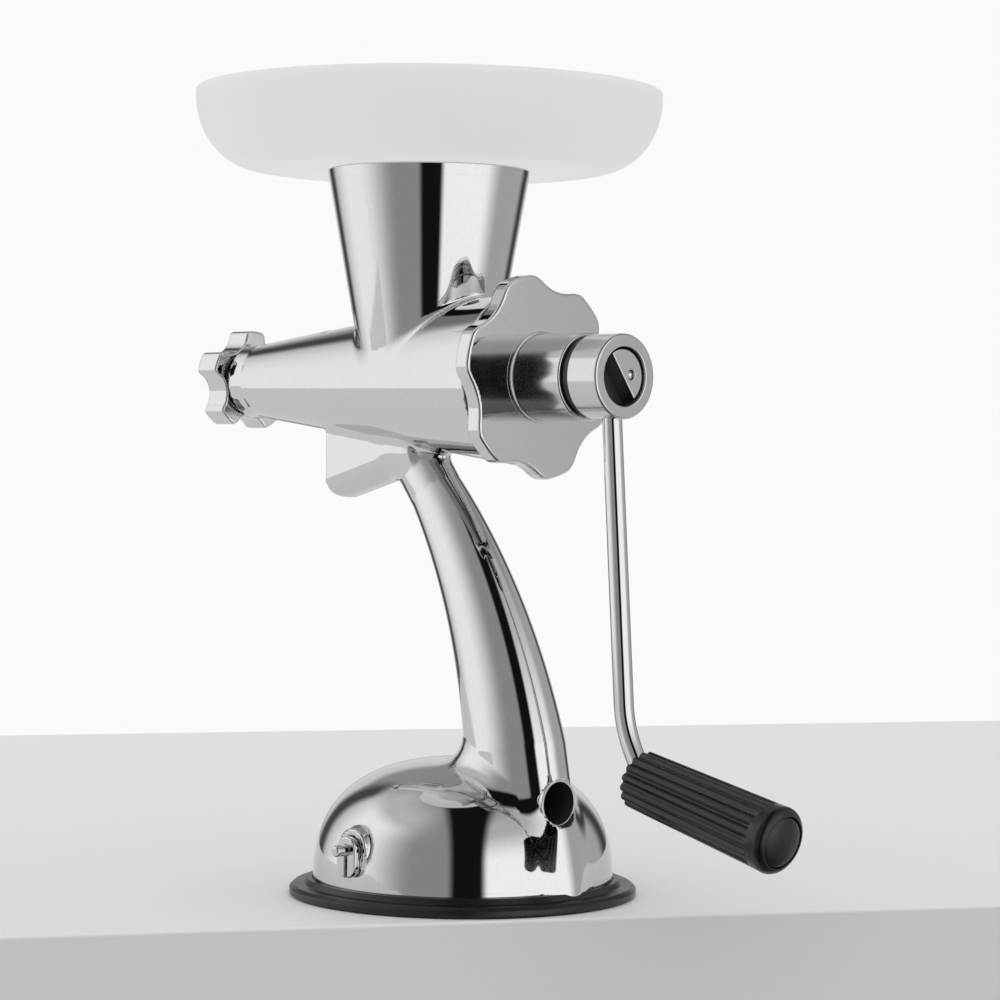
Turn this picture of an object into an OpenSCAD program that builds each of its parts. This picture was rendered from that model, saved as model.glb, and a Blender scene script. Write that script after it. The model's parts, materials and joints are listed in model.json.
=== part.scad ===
// Hand-cranked juicer: a tapered auger barrel on a curved neck, a suction base and a lift-off feed tray.
// Millimetres, +Z up. The origin is the centre of the pad's underside, and +X runs along the barrel
// towards the crank.

/* [Base] */
// Radius of the rubber pad's flange
pad_r = 72; // [68:0.5:80]
// Thickness of the pad at its rim
pad_edge = 4.5; // [3:0.5:5.5]
// Height of the pad's seat, where the dome stands
pad_seat = 6.5; // [6:0.5:8]
// Radius of the dome at its foot
dome_r = 62.3; // [58:0.1:65]
// Height of the dome's crown above the table
dome_top = 56.5; // [52:0.5:62]
// Wall of the dome
dome_wall = 3; // [2:0.5:4]
// Squareness of the dome's profile, where 2 is an ellipse
dome_square = 2.45; // [2:0.05:2.8]

/* [Suction lock] */
// Height of the cam shaft
cam_z = 23.5; // [22:0.5:27]
// Radius of the cam shaft
cam_shaft_r = 5; // [4:0.5:6]
// Radius of the bosses that carry the cam shaft
cam_boss_r = 8.5; // [8:0.5:10]
// Radius of the eccentric
cam_r = 9; // [8.5:0.5:10]
// Throw of the eccentric
cam_throw = 3; // [2:0.5:3.5]
// Thickness of the eccentric
cam_w = 8; // [6:1:10]
// Length of the lever from the shaft to its tip
lever_len = 57; // [46:1:62]
// Angle of the lever above the table at rest
lever_rest = 10; // [5:1:20]
// Radius of the pin at the shaft's near end
end_pin_r = 2.3; // [1.5:0.1:2.6]

/* [Clamp socket] */
// Height of the socket for a table clamp
socket_z = 42.3; // [40:0.1:45]
// Distance of the socket's mouth from the dome's axis
socket_x = 55.5; // [54:0.5:58]
// Radius of the socket's bore
socket_r = 8.6; // [7:0.1:9]
// Depth of the socket's bore
socket_depth = 32; // [24:1:33]
// Wall of the socket
socket_wall = 2; // [1.5:0.1:2.5]

/* [Neck] */
// Distance of the neck's foot from the dome's axis
neck_foot_x = 29.8; // [28.5:0.1:31]
// Height of the neck's foot
neck_foot_z = 62.5; // [60:0.5:66]
// Radius of the neck's bend
neck_bend_r = 249; // [235:1:265]
// Lean of the neck from upright at its foot
neck_lean_low = 11.3; // [10:0.1:13]
// Lean of the neck from upright at the barrel
neck_lean_high = 37.8; // [36.5:0.1:39]
// Radius of the neck at its foot
neck_foot_r = 20.8; // [19.6:0.2:22]
// Radius of the neck at the barrel
neck_top_r = 11.2; // [10:0.2:12.4]

/* [Barrel] */
// Height of the barrel's axis above the table
axis_z = 214; // [208:0.5:222]
// Place of the barrel's front face along its axis
barrel_face_x = 34.5; // [30:0.5:40]
// Radius of the barrel at its front face
barrel_big_r = 36; // [34:0.5:38]
// Length of the barrel from its front face to its nose
barrel_len = 170; // [160:1:176]
// Radius of the barrel at its nose
barrel_small_r = 17; // [16:0.5:19]
// Wall of the barrel
barrel_wall = 4.3; // [3.5:0.1:5]
// Length of the barrel's closed end behind its nose
nose_wall = 16; // [12:1:20]
// Radius of the threaded nose
nose_r = 12.4; // [12:0.1:13]
// Length of the threaded nose
nose_len = 9; // [7:0.5:9.5]
// Radius of the pulp outlet's bore
outlet_r = 9; // [8.5:0.1:10]

/* [Throat and tray] */
// Place of the throat's axis along the barrel
throat_x = -24.2; // [-28:0.2:-20]
// Height of the throat's rim above the table
throat_top = 301.5; // [295:0.5:308]
// Radius of the throat at its rim
throat_top_r = 42.6; // [40:0.2:45]
// Radius of the throat where it would meet the barrel's axis
throat_low_r = 27; // [25:0.5:28]
// Wall of the throat
throat_wall = 2.4; // [2:0.1:3]
// Radius of the tray's rim
tray_r = 97.8; // [90:0.2:105]
// Height of the tray
tray_h = 33; // [31:0.5:40]
// Radius of the tray's flat floor
tray_floor_r = 72; // [66:1:78]
// Height of the dish's curve, from its floor to the straight rim
tray_rise = 30; // [24:0.5:30]
// Wall of the tray
tray_wall = 2.6; // [2:0.1:3]
// Length of the tray's collar inside the throat
tray_collar = 12; // [8:1:16]

/* [Spout] */
// Half width of the juice spout
spout_r = 10.3; // [9:0.1:11]
// Place of the spout's mouth along the barrel
spout_mouth_x = -77; // [-82:0.5:-72]
// Height of the spout's lowest point
spout_low_z = 161.5; // [159:0.5:164]
// Slope of the spout's floor
spout_slope = 15.4; // [13:0.2:17]
// Wall of the spout
spout_wall = 2; // [1.5:0.1:2.5]
// Rounding of the lower corner of the spout's mouth
spout_corner = 7.5; // [5:0.5:9]

/* [Front cap] */
// Radius over the cap's lobes
cap_lobe_r = 41.7; // [40:0.1:44]
// Radius at the cap's hollows
cap_hollow_r = 36.4; // [35.5:0.1:38]
// Radius of the hollows between the cap's lobes
cap_scoop_r = 22.6; // [18:0.2:26]
// Number of lobes on the cap
cap_lobes = 6; // [5:1:8]
// Turn of the first lobe from level
cap_lobe_turn = 45.5; // [0:0.5:60]
// Thickness of the cap's plate
cap_plate = 7.5; // [6:0.5:10]
// Rounding of the cap's rim
cap_round = 1.2; // [0.8:0.1:2]
// Radius of the cap's boss
boss_r = 17.7; // [17:0.1:19]
// Length of the cap's boss
boss_len = 27; // [22:0.5:32]
// Wall of the barrel outside the cap's screw plug
thread_wall = 4.5; // [4.3:0.1:6]
// Length of the cap's screw plug
plug_len = 9.5; // [8:0.5:10]
// Thickness of the seal under the cap
gasket_t = 1; // [0.8:0.1:1.5]

/* [Drive] */
// Radius of the auger's shaft
shaft_r = 11; // [10:0.1:11.3]
// Wall of the bush that carries the shaft
bush_wall = 2.5; // [2:0.1:3]
// Thickness of the black thrust washer
washer_t = 3; // [2:0.2:4]
// Direction of the half-round drive end, from level
half_round_turn = 35.7; // [0:0.1:90]
// Gap between the auger and the strainer
auger_gap = 0.7; // [0.5:0.1:1.2]
// Pitch of the auger's flight
auger_pitch = 25; // [20:0.5:30]
// Core of the auger as a share of its outside
auger_core = 0.56; // [0.45:0.01:0.65]
// Wall of the strainer
strainer_t = 1.2; // [0.8:0.1:1.5]
// Radius of the strainer's holes
strainer_hole_r = 1.2; // [0.8:0.1:1.4]

/* [Crank] */
// Radius of the crank's hub
hub_r = 17; // [16:0.1:18.5]
// Length of the crank's hub
hub_len = 16; // [14:0.5:20]
// Radius of the round recess in the hub
hub_recess_r = 11.8; // [11.6:0.1:12.2]
// Radius of the crank's rod
rod_r = 4; // [3.5:0.1:4.5]
// Length of the crank's straight arm
arm_len = 117; // [110:0.5:125]
// Lean of the crank's arm away from the barrel
arm_lean = 4; // [2:0.5:6]
// Radius of the rod's long bend
sweep_r = 45; // [40:1:50]
// Turn of the rod's long bend
sweep_turn = 25; // [20:1:30]
// Length of the rod between its bends
link_len = 8.2; // [7:0.1:9]
// Radius of the rod's tight bend
elbow_r = 10; // [8:0.5:11]
// Tilt of the grip below level
grip_tilt = 13.6; // [12:0.2:15]

/* [Grip] */
// Length of the grip
grip_len = 75.5; // [70:0.5:85]
// Radius of the grip at the crank
grip_in_r = 11.8; // [11.6:0.1:13]
// Radius of the grip at its free end
grip_out_r = 13.4; // [12.5:0.1:15]
// Number of flutes
flutes = 16; // [12:1:18]
// Radius of a flute
flute_r = 1.5; // [1:0.1:1.8]
// Radius of the disc in the grip's end
grip_cap_r = 9.2; // [8.5:0.1:10]

/* [Pulp knob] */
// Radius over the knob's lobes
knob_lobe_r = 22.4; // [21:0.1:24]
// Radius at the knob's hollows
knob_hollow_r = 15.8; // [15.4:0.1:17]
// Radius of the hollows between the knob's lobes
knob_scoop_r = 9.4; // [8:0.2:12]
// Number of lobes on the knob
knob_lobes = 5; // [4:1:7]
// Turn of the first lobe from level
knob_lobe_turn = 85.5; // [0:0.5:72]
// Thickness of the knob
knob_t = 13; // [12.5:0.5:15]
// Rounding of the knob's edges
knob_round = 1.2; // [0.8:0.1:2]
// Gap between the barrel and the knob
knob_gap = 2.2; // [1:0.1:2.5]
// Radius of the hole in the knob
knob_hole_r = 7.5; // [6:0.1:8]

/* [Hidden] */
$fn = 96;

// Clearances
fit = 0.05;
run = 0.3;
eps = 0.01;
reach = 400;
edge = 1;
edge_step = 22.5;

// Barrel taper
barrel_nose_x = barrel_face_x - barrel_len;
barrel_taper = (barrel_big_r - barrel_small_r) / barrel_len;
function barrel_at(x) = barrel_small_r + barrel_taper * (x - barrel_nose_x);
function chamber_at(x) = barrel_at(x) - barrel_wall;
chamber_end_x = barrel_nose_x + nose_wall;
nose_end_x = barrel_nose_x - nose_len;
knob_back_x = barrel_nose_x - knob_gap;
nozzle_flange = 1;
nozzle_wall = 1;
nozzle_step = 2;
nozzle_gap = 2;
nozzle_end_x = chamber_end_x - nozzle_gap;

// Throat taper
throat_taper = (throat_top_r - throat_low_r) / (throat_top - axis_z);
function throat_at(z) = throat_low_r + throat_taper * (z - axis_z);

// Stations along the barrel's axis, from the front face outwards
plate_back_x = barrel_face_x + gasket_t;
plate_front_x = plate_back_x + cap_plate;
plug_end_x = barrel_face_x - plug_len;
plug_r = barrel_big_r - thread_wall;
boss_end_x = plate_front_x + boss_len;
bead = 0.9;
washer_step = 1.7;
washer_r = boss_r - washer_step;
hub_back_x = boss_end_x + washer_t + 2 * run;
hub_front_x = hub_back_x + hub_len;
recess_back_x = hub_back_x + hub_len / 2;
bush_r = shaft_r + fit + bush_wall;
bush_flange_t = 2;
bush_flange = 2.5;
bush_flange_r = bush_r + bush_flange;
bush_inset = 0.5;
collar_t = 3;
auger_back_x = plug_end_x - bush_flange_t - collar_t;
auger_tip_x = chamber_end_x + collar_t;
collar_front_x = plug_end_x - bush_flange_t - run;

// Strainer
strainer_gap = 3;
strainer_step = 12;
strainer_front_x = throat_x - throat_low_r - strainer_gap;
strainer_back_x = chamber_end_x + strainer_step;
slot_gap = 5;
slot_back_x = spout_mouth_x + slot_gap;
slot_front_x = strainer_front_x - slot_gap;
channel_r = 2.2;
spout_len = throat_x - spout_mouth_x;
strainer_rows = 9;
strainer_columns = 7;
strainer_span = 130;
strainer_edge = 5;
strainer_low_r = chamber_at(strainer_back_x) - 2 * fit;
strainer_high_r = chamber_at(strainer_front_x) - 2 * fit;

// Suction lock
dome_low = pad_seat;
pad_lip = 1.4;
pad_ledge = 6;
root_inset = 2;
function dome_profile(r, top, low) = [for (i = [0:dome_steps]) let (a = 90 * i / dome_steps)
    [r * pow(cos(a), 2 / dome_square), low + (top - low) * pow(sin(a), 2 / dome_square)]];
dome_steps = 20;
boss_len_in = 12.5;
boss_in_y = dome_r - boss_len_in;
boss_out_y = dome_r - run;
lever_gap = 3;
lever_y = dome_r + lever_gap;
lever_t = 5;
lever_hub_r = cam_boss_r;
lever_w = 8;
lever_tip_len = 22;
tip_wall = 6;
lever_bar = lever_len - tip_wall;
tip_r = 6.8;
shaft_near_y = -boss_out_y - run;
end_pin_len = 6;
link_t = 3.2;
link_r = 5.4;
link_drop = 6;
link_slot = 1.8;
shaft_far_y = lever_y + lever_t;
key_r = 1.5;
yoke_plate_t = 2;
yoke_rim = 6;
yoke_plate_r = 2 * cam_r + yoke_rim;
yoke_lift = 0.5;
yoke_plate_z = pad_seat + yoke_lift;
yoke_wall = 3;
yoke_w = cam_w;
yoke_gap = cam_throw * 0.37;
yoke_half = cam_r + cam_throw + yoke_gap;
cam_low_z = cam_z - cam_throw;

// Crank rod, as points and directions in the XZ plane
function along(from, angle, len) = from + len * [cos(angle), sin(angle)];
function bend_end(from, angle, r, turn) = from + r * [sin(turn) * cos(angle) - (1 - cos(turn)) * sin(angle),
    sin(turn) * sin(angle) + (1 - cos(turn)) * cos(angle)];
arm_dir = -90 + arm_lean;
sweep_dir = arm_dir + sweep_turn;
grip_dir = -grip_tilt;
rod_lap = 0.4;
bend_slim = 0.03;
elbow_turn = grip_dir - sweep_dir;
rod_in_hub = 4;
rod_offset = 0.8;
arm_top = [(hub_back_x + hub_front_x) / 2 + rod_offset, axis_z - sqrt(hub_r * hub_r - rod_r * rod_r) + rod_in_hub];
sweep_start = along(arm_top, arm_dir, arm_len);
link_start = bend_end(sweep_start, arm_dir, sweep_r, sweep_turn);
elbow_start = along(link_start, sweep_dir, link_len);
spindle_start = bend_end(elbow_start, sweep_dir, elbow_r, elbow_turn);
grip_mouth_depth = 8;
grip_mouth_rim = 2;
grip_lap = 6.9;
grip_start = along(spindle_start, grip_dir, -grip_lap);
grip_chamfer = 0.8;
grip_round = 4;
grip_cap_depth = 2.5;
grip_cap_edge = 1.9;
grip_crown = 2;
spindle_gap = 3;
spindle_len = grip_len - grip_lap - grip_cap_depth - spindle_gap;
pocket_depth = 5;
grip_pocket = grip_cap_depth + pocket_depth;
grip_shelf = 1.5;
retainer_t = 1.2;
grip_bore_r = rod_r + fit;
grip_band = 7;

// Shared shapes

// Places children along the barrel's axis: local +Z runs along +X, local +X is +Y, local +Y is +Z
module on_axis(x) translate([x, 0, axis_z]) rotate([90, 0, 90]) children();

// Turns children so that local +Z runs along a direction in the XZ plane
module in_plane(point, angle) translate([point[0], 0, point[1]]) rotate([0, 90 - angle, 0]) children();

// Cylinder or cone along the barrel's axis between two stations
module rod_x(x0, x1, r0, r1) on_axis(x0) cylinder(h = x1 - x0, r1 = r0, r2 = r1);

module barrel_outer() rod_x(barrel_nose_x, barrel_face_x, barrel_small_r, barrel_big_r);

module throat_outer() translate([throat_x, 0, axis_z])
    cylinder(h = throat_top - axis_z, r1 = throat_low_r, r2 = throat_top_r);

module throat_inner() translate([throat_x, 0, axis_z])
    cylinder(h = throat_top - axis_z + eps, r1 = throat_low_r - throat_wall, r2 = throat_top_r - throat_wall);

module dome_outer() rotate_extrude()
    polygon(concat([[0, dome_low]], dome_profile(dome_r, dome_top, dome_low)));

module dome_inner() rotate_extrude()
    polygon(concat([[0, dome_low - eps], [dome_r - dome_wall, dome_low - eps]],
        dome_profile(dome_r - dome_wall, dome_top - dome_wall, dome_low)));

module socket_tube(length) translate([socket_x - socket_depth - socket_wall, 0, socket_z]) rotate([0, 90, 0])
    cylinder(h = length, r = socket_r + socket_wall);

module socket_outer() socket_tube(socket_depth + socket_wall);

// U-shaped trough that rises along the barrel, with its mouth cut square
module trough(r, length, low) difference() {
    translate([spout_mouth_x, 0, low]) rotate([0, -spout_slope, 0]) translate([-r, 0, r]) rotate([90, 0, 90])
        linear_extrude(length + r) union() {
            circle(r);
            translate([-r, 0]) square([2 * r, 3 * r]);
        }
    translate([spout_mouth_x - reach, -reach / 2, 0]) cube([reach, reach, reach]);
}

module spout_outer() trough(spout_r, spout_len, spout_low_z);

// Waste outside the rounded lower corner of the spout's mouth
corner_rise = spout_corner * (tan(spout_slope) + 1 / cos(spout_slope));
module mouth_waste() difference() {
    translate([spout_mouth_x - spout_r, -reach / 2, spout_low_z - spout_r])
        cube([spout_r + spout_corner * (1 + sin(spout_slope)), reach, spout_r + corner_rise]);
    translate([spout_mouth_x + spout_corner, 0, spout_low_z + corner_rise]) rotate([90, 0, 0])
        cylinder(h = reach + 2, r = spout_corner, center = true);
}

// Lobed plate: a round-edged disc with hollows cut into its rim, whose edges are bevelled
module lobed_plate(t, tip_r, hollow_r, lobes, first, scoop, round) difference() {
    rotate_extrude() polygon(concat([[0, 0]],
        [for (a = [0:edge_step:90]) [tip_r - round * (1 - sin(a)), round * (1 - cos(a))]],
        [for (a = [90:-edge_step:0]) [tip_r - round * (1 - sin(a)), t - round * (1 - cos(a))]], [[0, t]]));
    bevel = round * 0.6;
    for (i = [0:lobes - 1]) rotate(first + (i + 0.5) * 360 / lobes) translate([hollow_r + scoop, 0, 0])
        rotate_extrude() polygon([[0, -1], [scoop + bevel + 1, -1], [scoop, bevel], [scoop, t - bevel],
            [scoop + bevel + 1, t + 1], [0, t + 1]]);
}

// Surface swept through rings of points, closed by a cap at each end
module skin(rings) {
    n = len(rings[0]);
    last = len(rings) - 1;
    points = [for (ring = rings) for (p = ring) p];
    sides = [for (i = [0:last - 1]) for (j = [0:n - 1]) let (k = (j + 1) % n)
        for (f = [[i * n + j, i * n + k, (i + 1) * n + j], [i * n + k, (i + 1) * n + k, (i + 1) * n + j]]) f];
    low_cap = [for (j = [1:n - 2]) [0, j + 1, j]];
    high_cap = [for (j = [1:n - 2]) [last * n, last * n + j, last * n + j + 1]];
    polyhedron(points, concat(sides, low_cap, high_cap));
}

// Neck sections: round, tapering evenly along the bend
neck_rings = 22;
neck_sides = 30;
neck_arc = [neck_foot_x - neck_bend_r * cos(neck_lean_low), neck_foot_z - neck_bend_r * sin(neck_lean_low)];
neck_top = neck_arc + neck_bend_r * [cos(neck_lean_high), sin(neck_lean_high)];
function neck_r(t) = neck_foot_r + (neck_top_r - neck_foot_r) * t;
function neck_ring(t) = let (r = neck_r(t), lean = neck_lean_low + (neck_lean_high - neck_lean_low) * t)
    [for (j = [0:neck_sides - 1]) let (u = 360 * j / neck_sides, d = neck_bend_r + r * cos(u))
        [neck_arc[0] + d * cos(lean), r * sin(u), neck_arc[1] + d * sin(lean)]];

// Auger surface: a core with one helical flight, both tapering with the chamber
auger_rings = 58;
auger_sides = 32;
flight_share = 0.3;
flight_edge = 0.1;
function auger_at(x) = chamber_at(x) - fit * 2 - strainer_t - auger_gap;
function flight(p) = max(0, min(1, (flight_share / 2 + flight_edge - abs(p - 0.5)) / flight_edge));
function turn_part(v) = v - floor(v);
function auger_ring(x) = [for (j = [0:auger_sides - 1]) let (u = 360 * j / auger_sides,
    h = flight(turn_part(u / 360 - x / auger_pitch)), r = auger_at(x) * (auger_core + (1 - auger_core) * h))
    [x, r * cos(u), axis_z + r * sin(u)]];

// Base

module suction_pad() color("#161616") rotate_extrude()
    polygon([[0, 0], [pad_r - pad_lip / 2, 0], [pad_r, pad_lip / 2], [pad_r, pad_edge - pad_lip],
        [pad_r - pad_lip, pad_edge], [dome_r + pad_lip, pad_seat], [dome_r - dome_wall - pad_ledge, pad_seat],
        [dome_r - dome_wall - 2 * pad_ledge, pad_edge], [yoke_plate_r + 2 * pad_lip, pad_edge],
        [yoke_plate_r + pad_lip, yoke_plate_z], [0, yoke_plate_z]]);

module base_dome() color("#d6d8da") difference() {
    dome_outer();
    dome_inner();
    socket_tube(reach);
    for (s = [-1, 1]) translate([0, s * boss_in_y, cam_z]) rotate([-90 * s, 0, 0])
        cylinder(h = dome_r, r = cam_boss_r + fit);
}

// Round root of the neck, which stands on the dome, holds the clamp socket and runs out above the dome's foot
module neck_root() color("#d6d8da") difference() {
    union() {
        difference() {
            intersection() {
                in_plane([neck_foot_x, neck_foot_z], neck_lean_low - 90) cylinder(h = neck_foot_z, r = neck_foot_r);
                translate([0, 0, dome_low]) cylinder(h = 2 * neck_foot_z, r = dome_r - root_inset);
            }
            dome_outer();
        }
        socket_outer();
    }
    translate([socket_x - socket_depth, 0, socket_z]) rotate([0, 90, 0]) cylinder(h = reach, r = socket_r);
    translate([socket_x, 0, socket_z]) rotate([0, 90, 0]) cylinder(h = reach, r = socket_r + socket_wall);
}

module neck() color("#d6d8da") skin([for (i = [0:neck_rings]) neck_ring(i / neck_rings)]);

module cam_bushes() color("#c9ccce") for (s = [-1, 1]) translate([0, s * boss_in_y, cam_z]) rotate([-90 * s, 0, 0])
    difference() {
        cylinder(h = (s > 0 ? lever_y - run : boss_out_y) - boss_in_y, r = cam_boss_r);
        translate([0, 0, -1]) cylinder(h = boss_out_y, r = cam_shaft_r + fit);
    }

module cam_shaft() color("#b9bcbe") translate([0, shaft_near_y, cam_z]) rotate([-90, 0, 0]) difference() {
    cylinder(h = shaft_far_y - shaft_near_y, r = cam_shaft_r);
    translate([0, 0, -1]) cylinder(h = end_pin_len, r = end_pin_r + fit);
    translate([0, 0, -shaft_near_y]) rotate([90, 0, 0]) cylinder(h = 4 * cam_shaft_r, r = key_r + fit, center = true);
}

module shaft_end_pin() color("#c9ccce") translate([0, shaft_near_y + end_pin_len - 1, cam_z]) rotate([90, 0, 0]) {
    cylinder(h = end_pin_len * 2, r = end_pin_r);
    translate([0, 0, end_pin_len * 2]) sphere(end_pin_r);
}

// Keyhole link that hangs on the pin
module shaft_link() color("#c9ccce") translate([0, shaft_near_y - link_t, cam_z]) rotate([-90, 0, 0]) difference() {
    union() {
        cylinder(h = link_t, r = link_r);
        translate([0, link_drop, 0]) cylinder(h = link_t, r = link_r);
        translate([-link_r, 0, 0]) cube([2 * link_r, link_drop, link_t]);
    }
    translate([0, 0, -1]) cylinder(h = link_t + 2, r = end_pin_r + fit);
    translate([-link_slot / 2, 0, -1]) cube([link_slot, link_drop + 2, link_t + 2]);
}

module suction_cam() color("#9ea1a3") difference() {
    translate([0, -cam_w / 2, cam_low_z]) rotate([-90, 0, 0]) cylinder(h = cam_w, r = cam_r);
    translate([0, -cam_w, cam_z]) rotate([-90, 0, 0]) cylinder(h = 2 * cam_w, r = cam_shaft_r + fit);
    translate([0, 0, cam_z]) cylinder(h = 4 * cam_r, r = key_r + fit, center = true);
}

module cam_key() color("#8f9294") translate([0, 0, cam_z])
    cylinder(h = 2 * (cam_r - cam_throw), r = key_r, center = true);

module suction_lever() color("#c9ccce") translate([0, lever_y, cam_z]) rotate([-90, lever_rest, 0]) difference() {
    union() {
        cylinder(h = lever_t, r = lever_hub_r);
        translate([-lever_bar, -lever_w / 2, 0]) cube([lever_bar, lever_w, lever_t]);
    }
    translate([0, 0, -1]) cylinder(h = lever_t + 2, r = cam_shaft_r + fit);
}

module lever_tip() color("#161616") translate([0, lever_y, cam_z]) rotate([-90, lever_rest, 0]) difference() {
    translate([-lever_len, 0, lever_t / 2]) rotate([0, 90, 0]) rotate_extrude()
        polygon([[0, 0], [tip_r * 0.6, 0], [tip_r * 0.9, tip_r * 0.35], [tip_r, tip_r * 0.9],
            [tip_r * 0.83, lever_tip_len], [0, lever_tip_len]]);
    translate([-lever_bar - fit, -lever_w / 2 - fit, -fit])
        cube([lever_len, lever_w + 2 * fit, lever_t + 2 * fit]);
}

module pad_yoke() color("#9ea1a3") difference() {
    union() {
        translate([0, 0, yoke_plate_z]) cylinder(h = yoke_plate_t, r = yoke_plate_r);
        translate([-yoke_half - yoke_wall, -yoke_w / 2, yoke_plate_z])
            cube([2 * (yoke_half + yoke_wall), yoke_w, cam_low_z + cam_r + run + yoke_wall - yoke_plate_z]);
    }
    translate([-yoke_half, -yoke_w, cam_low_z - cam_r - yoke_gap])
        cube([2 * yoke_half, 2 * yoke_w, 2 * cam_r + yoke_gap + run]);
}

// Body

module barrel() color("#d6d8da") difference() {
    union() {
        barrel_outer();
        rod_x(nose_end_x, barrel_nose_x + eps, nose_r, nose_r);
        difference() {
            in_plane(neck_top, neck_lean_high + 90) cylinder(h = axis_z - neck_top[1], r = neck_top_r);
            spout_outer();
        }
    }
    rod_x(chamber_end_x, barrel_face_x, chamber_at(chamber_end_x), chamber_at(barrel_face_x));
    rod_x(nose_end_x - 1, chamber_end_x + 1, outlet_r, outlet_r);
    rod_x(plug_end_x - 2, barrel_face_x + 1, plug_r + run, plug_r + run);
    throat_inner();
    translate([slot_back_x, -spout_r + spout_wall, spout_low_z])
        cube([slot_front_x - slot_back_x, 2 * (spout_r - spout_wall), axis_z - spout_low_z]);
    in_plane([strainer_back_x, axis_z - chamber_at(strainer_back_x)], -atan(barrel_taper))
        cylinder(h = slot_front_x - strainer_back_x, r = channel_r);
}

module throat() color("#d6d8da") difference() {
    throat_outer();
    throat_inner();
    barrel_outer();
}

module juice_spout() color("#d0d2d4") difference() {
    spout_outer();
    trough(spout_r - spout_wall, slot_front_x - spout_mouth_x + spout_r, spout_low_z + spout_wall);
    mouth_waste();
    barrel_outer();
    translate([-reach / 2, -reach / 2, axis_z]) cube([reach, reach, reach]);
}

module strainer() color("#b9bcbe") difference() {
    rod_x(strainer_back_x, strainer_front_x, strainer_low_r, strainer_high_r);
    rod_x(strainer_back_x - eps, strainer_front_x + eps, strainer_low_r - strainer_t, strainer_high_r - strainer_t);
    for (i = [0:strainer_rows - 1]) for (j = [0:strainer_columns - 1])
        let (x = strainer_back_x + strainer_edge
                + i * (strainer_front_x - strainer_back_x - 2 * strainer_edge) / (strainer_rows - 1),
            a = -strainer_span / 2 + (j + (i % 2) / 2) * strainer_span / strainer_columns)
        translate([x, 0, axis_z]) rotate([a, 0, 0]) translate([0, 0, -barrel_big_r])
            cylinder(h = barrel_big_r - strainer_low_r / 2, r = strainer_hole_r);
}

// Front cap

module front_cap() color("#d6d8da") difference() {
    union() {
        on_axis(plate_back_x)
            lobed_plate(cap_plate, cap_lobe_r, cap_hollow_r, cap_lobes, cap_lobe_turn, cap_scoop_r, cap_round);
        rod_x(plug_end_x, plate_back_x + eps, plug_r, plug_r);
        rod_x(plate_front_x - eps, plate_front_x + bead, boss_r + bead, boss_r + bead);
        rod_x(plate_front_x, boss_end_x - edge, boss_r, boss_r);
        rod_x(boss_end_x - edge, boss_end_x, boss_r, boss_r - edge);
    }
    rod_x(plug_end_x - 1, boss_end_x + 1, bush_r + fit, bush_r + fit);
}

module shaft_bush() color("#d8cdb0") difference() {
    union() {
        rod_x(plug_end_x, boss_end_x - bush_inset, bush_r, bush_r);
        rod_x(plug_end_x - bush_flange_t, plug_end_x, bush_flange_r, bush_flange_r);
    }
    rod_x(plug_end_x - bush_flange_t - 1, boss_end_x + 1, shaft_r + fit, shaft_r + fit);
}

module cap_gasket() color("#303030") difference() {
    rod_x(barrel_face_x, plate_back_x, barrel_big_r - run, barrel_big_r - run);
    rod_x(barrel_face_x - 1, plate_back_x + 1, plug_r + run, plug_r + run);
}

module thrust_washer() color("#111111") difference() {
    rod_x(boss_end_x + run, boss_end_x + run + washer_t, washer_r, washer_r);
    rod_x(boss_end_x, hub_back_x, shaft_r + run, shaft_r + run);
}

// Drive

module auger() color("#c9ccce") skin([for (i = [0:auger_rings])
    auger_ring(auger_tip_x + (auger_back_x - auger_tip_x) * i / auger_rings)]);

// Half-round bar along the barrel's axis, solid on the side that half_round_turn faces
module half_round(x0, x1, r) difference() {
    rod_x(x0, x1, r, r);
    on_axis(x0 - 1) rotate(half_round_turn + 90) translate([-2 * r, 0, 0]) cube([4 * r, 2 * r, x1 - x0 + 2]);
}

module auger_shaft() color("#c9ccce") union() {
    rod_x(auger_back_x, collar_front_x, bush_flange_r, bush_flange_r);
    rod_x(collar_front_x, hub_back_x, shaft_r, shaft_r);
    half_round(hub_back_x, hub_front_x - edge, shaft_r - fit);
}

module crank_hub() color("#d0d2d4") difference() {
    union() {
        rod_x(hub_back_x, hub_back_x + edge, hub_r - edge, hub_r);
        rod_x(hub_back_x + edge, hub_front_x - 2 * edge, hub_r, hub_r);
        rod_x(hub_front_x - 2 * edge, hub_front_x, hub_r, hub_r - 1.6 * edge);
    }
    rod_x(recess_back_x, hub_front_x + 1, hub_recess_r, hub_recess_r);
    half_round(hub_back_x - 1, hub_front_x, shaft_r);
    in_plane(along(arm_top, arm_dir, -fit), arm_dir) cylinder(h = hub_r, r = rod_r + fit);
}

// Part of a ring of rod in the XZ plane, which starts at a point in a direction and turns upwards.
// It is a hair slimmer than the rod, and laps a little into the straight lengths at both ends.
module rod_bend(from, angle, r, turn) {
    lap = rod_lap / r * 180 / PI;
    translate([from[0], 0, from[1]]) rotate([90, 0, 0]) rotate(angle - 90) translate([-r, 0, 0])
        rotate(-lap) rotate_extrude(angle = turn + 2 * lap) translate([r, 0]) circle(rod_r - bend_slim);
}

module crank_arm() color("#d6d8da") union() {
    in_plane(arm_top, arm_dir) cylinder(h = arm_len, r = rod_r);
    rod_bend(sweep_start, arm_dir, sweep_r, sweep_turn);
    in_plane(link_start, sweep_dir) cylinder(h = link_len, r = rod_r);
    rod_bend(elbow_start, sweep_dir, elbow_r, elbow_turn);
    in_plane(spindle_start, grip_dir) cylinder(h = spindle_len, r = rod_r);
}

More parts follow.
